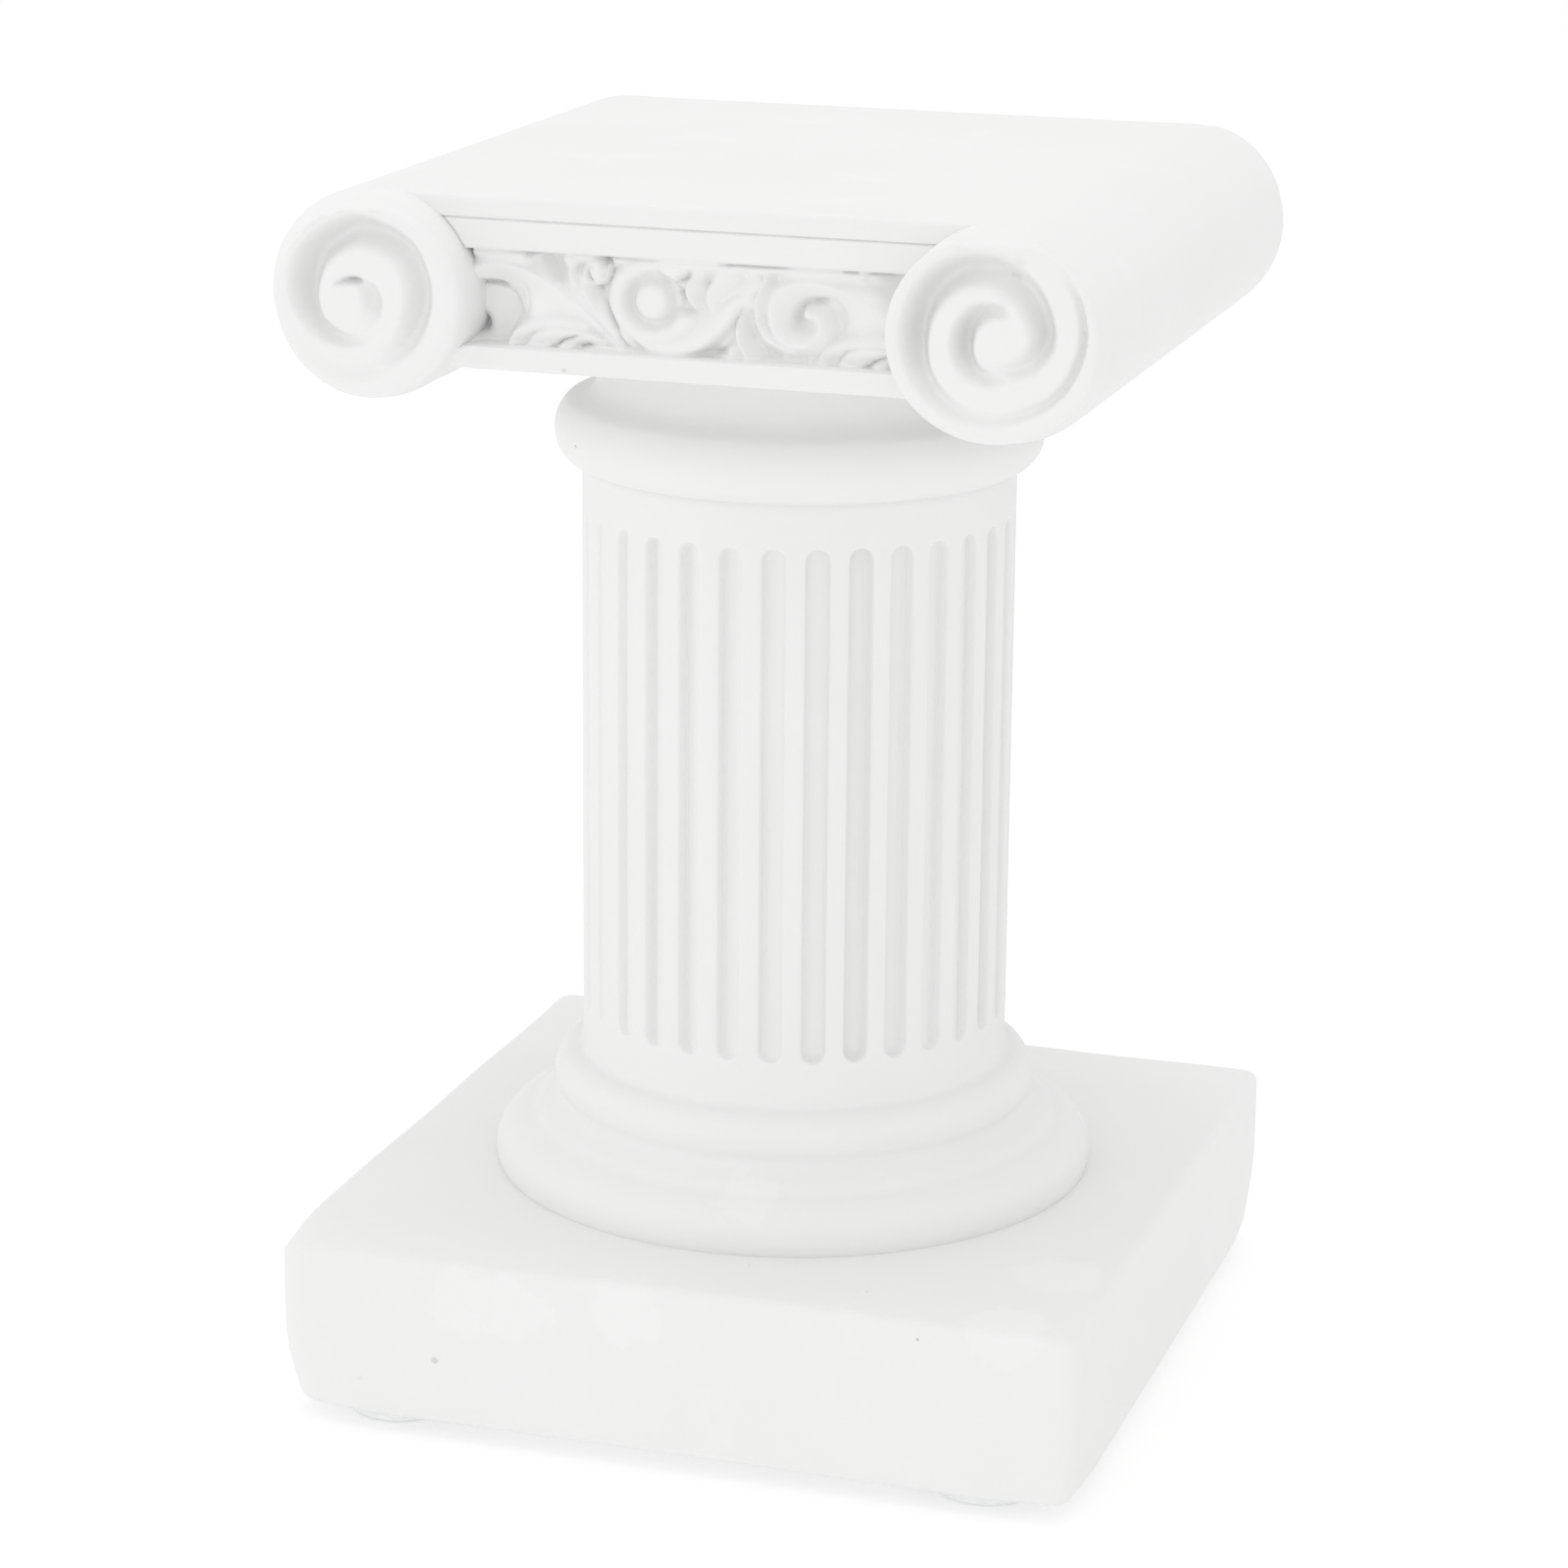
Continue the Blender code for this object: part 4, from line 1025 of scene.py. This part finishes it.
def back_carving(form):
    """Function that gives the height of the plainer back frieze over the panel's floor.

    Two scrolls face each other, with a palmette between them.
    """
    def carve(x, z):
        u = np.abs(x)
        ground = 1.0 + 1.2 * (1 - ease(105.4, 106.3, z)) + 1.2 * ease(112.9, 113.9, z)
        scroll_width = (0.8, 1.1, 1.3, 1.4, 1.4, 1.3, 1.0)
        level = strand(u, z, ground, [(0.0, 106.0), (3.0, 106.1), (6.5, 106.5), (10.0, 106.6),
                                      (13.0, 107.2), (14.9, 108.7), (15.2, 110.6), (14.0, 112.2),
                                      (12.0, 112.8), (10.1, 112.2), (9.2, 110.8), (9.6, 109.4),
                                      (10.8, 108.8), (12.0, 109.4), (12.0, 110.5)],
                       scroll_width, scroll_width, (2.2, 2.5, 2.6, 2.6, 2.6, 2.5), 1.7, 1.7)
        leaf_width = (0.5, 1.3, 0.9)
        for leaf in ([(0.0, 106.4), (0.0, 110.0), (0.0, 113.6)],
                     [(0.3, 106.6), (1.7, 109.0), (2.9, 111.2), (3.2, 113.4)],
                     [(0.8, 106.6), (3.2, 108.3), (5.2, 110.2), (6.0, 112.6)],
                     [(19.6, 106.0), (18.0, 107.6), (17.2, 109.6), (17.4, 111.6), (18.6, 113.2)]):
            level = np.maximum(level, strand(u, z, ground, leaf, leaf_width, leaf_width, 2.5, 1.6, 1.6))
        level = np.maximum(level, ground + mound(u, z, 11.3, 110.4, 0.9, 0.9, 1.3, 2.5))
        return soften(level) * form.relief_height / CARVED_HEIGHT

    return carve


def soften(level):
    """Each height with a share of its neighbours', so that a crest is never a knife edge."""
    padded = np.pad(level, 1, mode="edge")
    around = padded[:-2, 1:-1] + padded[2:, 1:-1] + padded[1:-1, :-2] + padded[1:-1, 2:]
    return level * 0.6 + around * 0.1


def band_wear(form, front, x, z, depth):
    """Small faults of the bands: a gap beside the left volute, and edges that wave slightly."""
    made = depth.copy()
    if front:
        from_left = x - x[:, :1]
        beside = 1 - ease(0.02, 0.25, from_left)
        made -= 0.25 * beside * within(z, 113.7, 117.1) * (made > form.plane - 1.0)
        foot_band = ease(103.2, 104.2, z) * (1 - ease(105.9, 106.8, z))
        made += 1.4 * (1 - ease(0.0, 1.6, from_left)) ** 2 * foot_band
    wave = 0.03 * np.sin(x * 0.9 + 0.4) * np.sin(x * 0.37 + 1.3)
    return made + wave * (np.abs(made - form.plane) < 0.2)


# Casting faults

def ball(shell, centre, radius, around=8, over=5):
    """Small closed ball: rings of latitude from one pole to the other."""
    lift = np.linspace(-np.pi / 2, np.pi / 2, over + 1)[:, None]
    turn = np.arange(around) * 2 * np.pi / around
    grid = np.stack([np.cos(lift) * np.cos(turn), np.cos(lift) * np.sin(turn),
                     np.sin(lift) + np.zeros(around)], axis=-1)
    shell.patch(np.array(centre) + radius * grid, closed=True)


def pinholes(form):
    """Air bubbles that broke open at the surface, as (place, radius)."""
    front, right, top = -form.half_depth, form.half_width, form.plinth_top - DATUM
    holes = (
        (-23.5, front + 0.05, 6.6, 0.36), (-19.4, front, 1.8, 0.22), (-31.4, front, 3.6, 0.22),
        (-37.0, front + 0.5, 1.4, 0.24), (25.0, front + 0.05, 15.4, 0.18), (23.8, front, 2.2, 0.18),
        (34.7, front + 0.1, 2.5, 0.2), (right, -36.0, 7.1, 0.2), (5.8, -32.1, top, 0.16),
        (18.4, -34.6, top, 0.18), (12.5, -26.1, 22.9, 0.26), (-12.4, -20.6, 96.3, 0.42),
        (-17.9, -16.1, 94.1, 0.26), (-17.2, -16.8, 92.6, 0.2), (9.1, -22.3, 91.2, 0.16),
        (36.4, -3.4, 116.7, 0.22), (38.1, 9.0, 114.8, 0.24), (39.3, 20.7, 111.4, 0.24),
        (-11.4, -form.plane, 103.7, 0.24),
    )
    return [((x, y, z + DATUM), radius) for x, y, z, radius in holes]


def combine(item, helper, operation):
    """Join a helper to an object, or cut it away, and remove the helper."""
    step = item.modifiers.new(helper.name, "BOOLEAN")
    step.operation = operation
    step.solver = "MANIFOLD"
    step.object = helper
    with bpy.context.temp_override(object=item):
        bpy.ops.object.modifier_apply(modifier=step.name)
    bpy.data.objects.remove(helper, do_unlink=True)


def shade(item, angle):
    """Smooth faces, with a sharp edge where two meet at more than an angle."""
    item.data.polygons.foreach_set("use_smooth", [True] * len(item.data.polygons))
    item.data.set_sharp_from_angle(angle=math.radians(angle))


# Materials

class Value:
    """A shader socket that Python's operators work on. Each operator adds its Math node."""

    def __init__(self, tree, socket):
        self.tree = tree
        self.socket = socket

    def node(self, kind, settings=None, **inputs):
        """Add a node; settings come first.

        An input is named as its socket, with _ for a space, or i and the socket's number, and is
        given a Value, which is linked, or a plain value.
        """
        made = self.tree.nodes.new(kind)
        for name, value in (settings or {}).items():
            setattr(made, name, value)
        for name, value in inputs.items():
            key = int(name[1:]) if name[1:].isdigit() else name.replace("_", " ")
            if isinstance(value, Value):
                self.tree.links.new(value.socket, made.inputs[key])
            else:
                made.inputs[key].default_value = value
        return made

    def math(self, operation, *others):
        """Result of a Math node on this value and others."""
        inputs = {f"i{spot}": value for spot, value in enumerate((self, *others))}
        made = self.node("ShaderNodeMath", {"operation": operation}, **inputs)
        return Value(self.tree, made.outputs[0])

    def __add__(self, other):
        return self.math("ADD", other)

    __radd__ = __add__

    def __mul__(self, other):
        return self.math("MULTIPLY", other)

    __rmul__ = __mul__

    def __sub__(self, other):
        return self.math("SUBTRACT", other)

    def __rsub__(self, other):
        made = self.node("ShaderNodeMath", {"operation": "SUBTRACT"}, i0=other, i1=self)
        return Value(self.tree, made.outputs[0])

    def between(self, low, high):
        """0 below low, 1 above high, and a smooth S in between."""
        made = self.node("ShaderNodeMapRange", {"interpolation_type": "SMOOTHSTEP"},
                         Value=self, From_Min=low, From_Max=high)
        return Value(self.tree, made.outputs["Result"])

    def mix(self, first, second):
        """Colour that goes from first to second as this value goes from 0 to 1."""
        first, second = (tone if isinstance(tone, Value) else (*tone, 1.0) for tone in (first, second))
        made = self.node("ShaderNodeMix", {"data_type": "RGBA"}, i0=self, i6=first, i7=second)
        return Value(self.tree, made.outputs[2])

    def feed(self, socket):
        """Link this value to a socket of the shader."""
        self.tree.links.new(self.socket, socket)


def start_material(name):
    """Material with its shader and a value that holds Object coordinates."""
    made = bpy.data.materials.new(name)
    made.use_nodes = True
    tree = made.node_tree
    shader = tree.nodes["Principled BSDF"]
    coordinates = tree.nodes.new("ShaderNodeTexCoord")
    return made, shader, Value(tree, coordinates.outputs["Object"])


def noise(place, scale, detail=2.0, roughness=0.5):
    """Value of a noise pattern whose scale is in features a metre."""
    made = place.node("ShaderNodeTexNoise", Vector=place, Scale=scale, Detail=detail, Roughness=roughness)
    return Value(place.tree, made.outputs[0])


def blot(place, centre, reach):
    """1 inside a round patch and 0 outside it; noise on the distance makes its edge ragged."""
    apart = place.node("ShaderNodeVectorMath", {"operation": "DISTANCE"}, i0=place, i1=centre)
    ragged = Value(place.tree, apart.outputs["Value"]) + noise(place, 420.0, 5.0, 0.65) * 0.006
    return 1.0 - ragged.between(reach + 0.0024, reach + 0.0032)


# Rubbed patches on the plinth and the base, as (middle, reach) in metres.
RUBBED_PATCHES = (
    ((-0.0205, -0.0400, 0.0150), 0.0036), ((-0.0150, -0.0400, 0.0148), 0.0034),
    ((-0.0035, -0.0400, 0.0160), 0.0036), ((0.0330, -0.0380, 0.0185), 0.0040),
    ((0.0345, -0.0250, 0.0190), 0.0042), ((0.0040, -0.0275, 0.0250), 0.0034),
)


def casting_material(colours):
    """Dry unpainted white: cloudy tone, rubbed patches, fine grain and a few specks."""
    made, shader, place = start_material("cast_white")
    cloud = noise(place, 38.0, 3.0).between(0.35, 0.68)
    speck = noise(place, 1900.0, 1.0).between(0.74, 0.80)
    patches = noise(place, 95.0, 5.0, 0.62).between(0.58, 0.70)
    for middle, reach in RUBBED_PATCHES:
        patches = (blot(place, middle, reach) * 1.7).math("MAXIMUM", patches)
    tone = (cloud * 0.35 + speck * 0.4).mix(colours.casting, colours.hollow)
    (patches * 0.25).mix(tone, colours.patch).feed(shader.inputs["Base Color"])
    (cloud * 0.06 + 0.74).feed(shader.inputs["Roughness"])
    height = noise(place, 2600.0) * 0.35 + noise(place, 240.0) * 0.65
    bump = place.node("ShaderNodeBump", Strength=0.10, Distance=0.00025, Height=height)
    Value(place.tree, bump.outputs["Normal"]).feed(shader.inputs["Normal"])
    shader.inputs["Specular IOR Level"].default_value = 0.25
    return made


def pad_material(colours):
    """Clear soft plastic with faint streaks and a slightly dull surface."""
    made, shader, place = start_material("clear_pad")
    streak = noise(place, 700.0).between(0.3, 0.8)
    (streak * 0.4).mix(colours.pad, colours.streak).feed(shader.inputs["Base Color"])
    (streak * 0.12 + 0.14).feed(shader.inputs["Roughness"])
    shader.inputs["IOR"].default_value = 1.45
    shader.inputs["Transmission Weight"].default_value = 0.35
    return made


def floor_material(light):
    """Plain pale floor with a barely uneven tone, which gives off some light of its own."""
    made, shader, place = start_material("pale_floor")
    duller = [tone - 0.03 for tone in light.floor]
    (noise(place, 6.0) * 0.05).mix(light.floor, duller).feed(shader.inputs["Base Color"])
    shader.inputs["Emission Color"].default_value = (1.0, 1.0, 1.0, 1.0)
    shader.inputs["Emission Strength"].default_value = light.glow
    shader.inputs["Roughness"].default_value = 0.9
    shader.inputs["Specular IOR Level"].default_value = 0.1
    return made


# Operators

class COLUMN_OT_casting(bpy.types.Operator):
    """Build the white casting in place of its plain solid"""

    bl_idname = "column.casting"
    bl_label = "Build Casting"

    def execute(self, context):
        form = Form(context.scene.casting_sizes)
        finish = casting_material(context.scene.finish_colours)
        casting = turned_body(form).to_object("column_casting", finish)
        capital = capital_body(form).to_object("capital_form", finish)
        combine(casting, capital, "UNION")
        holes = Shell()
        for place, radius in pinholes(form):
            ball(holes, place, radius)
        combine(casting, holes.to_object("pinhole_form", finish), "DIFFERENCE")
        shade(casting, 55)
        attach(casting, "root")
        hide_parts("column")
        return {"FINISHED"}


PAD_STEPS = 48
PAD_EDGE = 0.75

# How far a pad's top reaches up, into the gap that the frame leaves under the plinth.
PAD_BED = 0.26


def pad_shell(name):
    """Surface of one pad: a flat foot, a quarter round up to its side, and a top in the plinth's bed."""
    low, high = (np.array(corner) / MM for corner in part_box(name))
    middle, radius = (low + high) / 2, (high[0] - low[0]) / 2
    profile = [(0.0, low[2]), (radius * 0.55, low[2])]
    profile += [(radius - PAD_EDGE + PAD_EDGE * math.cos(a), low[2] + PAD_EDGE + PAD_EDGE * math.sin(a))
                for a in arc_steps(-90, 0, 5)]
    profile += [(radius, high[2]), (radius * 0.97, high[2] + PAD_BED), (0.0, high[2] + PAD_BED)]
    turn = np.arange(PAD_STEPS) * 2 * np.pi / PAD_STEPS
    shell = Shell()
    shell.patch(np.array([np.stack([middle[0] + size * np.cos(turn), middle[1] + size * np.sin(turn),
                                    np.full(PAD_STEPS, height)], axis=1) for size, height in profile]),
                closed=True)
    return shell


class COLUMN_OT_pads(bpy.types.Operator):
    """Build the clear pads under the plinth"""

    bl_idname = "column.pads"
    bl_label = "Build Pads"

    def execute(self, context):
        finish = pad_material(context.scene.finish_colours)
        for name in PADS:
            pad = pad_shell(name).to_object(name + "_moulded", finish)
            shade(pad, 50)
            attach(pad, "root")
            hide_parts(name)
        return {"FINISHED"}


class COLUMN_OT_stage(bpy.types.Operator):
    """Set up the floor, the soft light and the camera"""

    bl_idname = "column.stage"
    bl_label = "Set Stage"

    def execute(self, context):
        light = context.scene.stage_light
        add_floor(light)
        add_lights(light)
        add_camera()
        context.scene.view_settings.view_transform = "Standard"
        return {"FINISHED"}


FLOOR_REACH = 12.0
LIGHT_TARGET = (0.0, 0.0, 0.07)


def add_floor(light):
    """Flat floor that runs on far past the edges of the picture."""
    reach = FLOOR_REACH
    mesh = bpy.data.meshes.new("studio_floor")
    corners = [(-reach, -reach, 0.0), (reach, -reach, 0.0), (reach, reach, 0.0), (-reach, reach, 0.0)]
    mesh.from_pydata(corners, [], [(0, 1, 2, 3)])
    mesh.materials.append(floor_material(light))
    made = bpy.data.objects.new("studio_floor", mesh)
    bpy.context.scene.collection.objects.link(made)


def add_area(name, place, size, watts):
    """Square soft light that looks at the column's middle."""
    lamp = bpy.data.lights.new(name, "AREA")
    lamp.shape = "SQUARE"
    lamp.size = size
    lamp.energy = watts
    made = bpy.data.objects.new(name, lamp)
    made.location = place
    made.rotation_euler = (Vector(LIGHT_TARGET) - Vector(place)).to_track_quat("-Z", "Y").to_euler()
    bpy.context.scene.collection.objects.link(made)


def add_lights(light):
    """Even white surroundings, with large soft lights from the left, from in front and overhead."""
    world = bpy.data.worlds.new("studio")
    world.use_nodes = True
    background = world.node_tree.nodes["Background"]
    background.inputs["Color"].default_value = (1.0, 1.0, 1.0, 1.0)
    background.inputs["Strength"].default_value = light.fill
    bpy.context.scene.world = world
    add_area("left_light", (-0.85, -0.12, 0.12), 0.4, light.left)
    add_area("front_light", (0.15, -0.85, 0.22), 0.5, light.front)
    add_area("top_light", (0.0, 0.0, 1.0), 0.7, light.top)


CAMERA_TARGET = (-0.00132, 0.0, 0.05776)
CAMERA_DISTANCE = 0.4603
CAMERA_AZIMUTH = math.radians(17.666)
CAMERA_ELEVATION = math.radians(15.845)
CAMERA_ROLL = math.radians(0.515)
CAMERA_FOCUS_PIXELS = 4677.7
FRAME_PIXELS = 1600
SENSOR = 36.0


def add_camera():
    """Camera at the photograph's angle, with its small roll.

    The lens is the sensor's width times the focus over the frame's width, both in pixels.
    """
    azimuth, elevation = CAMERA_AZIMUTH, CAMERA_ELEVATION
    back = Vector((math.sin(azimuth) * math.cos(elevation), -math.cos(azimuth) * math.cos(elevation),
                   math.sin(elevation)))
    right = (-back).cross(Vector((0, 0, 1))).normalized()
    up = right.cross(-back)
    tilted_right = right * math.cos(CAMERA_ROLL) + up * math.sin(CAMERA_ROLL)
    tilted_up = up * math.cos(CAMERA_ROLL) - right * math.sin(CAMERA_ROLL)
    lens = bpy.data.cameras.new("camera")
    lens.sensor_width = SENSOR
    lens.lens = SENSOR * CAMERA_FOCUS_PIXELS / FRAME_PIXELS
    lens.clip_start = 0.01
    made = bpy.data.objects.new("camera", lens)
    turn = Matrix((tilted_right, tilted_up, back)).transposed().to_4x4()
    made.matrix_world = Matrix.Translation(Vector(CAMERA_TARGET) + back * CAMERA_DISTANCE) @ turn
    bpy.context.scene.collection.objects.link(made)
    bpy.context.scene.camera = made


class COLUMN_PT_panel(bpy.types.Panel):
    """Sizes, colours and steps of the column"""

    bl_label = "Cast Ionic Column"
    bl_idname = "COLUMN_PT_panel"
    bl_space_type = "VIEW_3D"
    bl_region_type = "UI"
    bl_category = "Column"

    def draw(self, context):
        for group in ("casting_sizes", "finish_colours", "stage_light"):
            box = self.layout.box()
            settings = getattr(context.scene, group)
            for name in settings.__annotations__:
                box.prop(settings, name)
        for step in ("column.casting", "column.pads", "column.stage"):
            self.layout.operator(step)


CLASSES = (CastingSizes, FinishColours, StageLight, COLUMN_OT_casting, COLUMN_OT_pads,
           COLUMN_OT_stage, COLUMN_PT_panel)


def register():
    """Add the classes and the scene's settings."""
    for kind in CLASSES:
        bpy.utils.register_class(kind)
    bpy.types.Scene.casting_sizes = PointerProperty(type=CastingSizes)
    bpy.types.Scene.finish_colours = PointerProperty(type=FinishColours)
    bpy.types.Scene.stage_light = PointerProperty(type=StageLight)


def unregister():
    """Take the settings and the classes away again."""
    for name in ("casting_sizes", "finish_colours", "stage_light"):
        delattr(bpy.types.Scene, name)
    for kind in reversed(CLASSES):
        bpy.utils.unregister_class(kind)


def main():
    """Build the pieces and the stage."""
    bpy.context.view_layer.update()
    register()
    bpy.ops.column.casting()
    bpy.ops.column.pads()
    bpy.ops.column.stage()


if __name__ == "__main__":
    main()
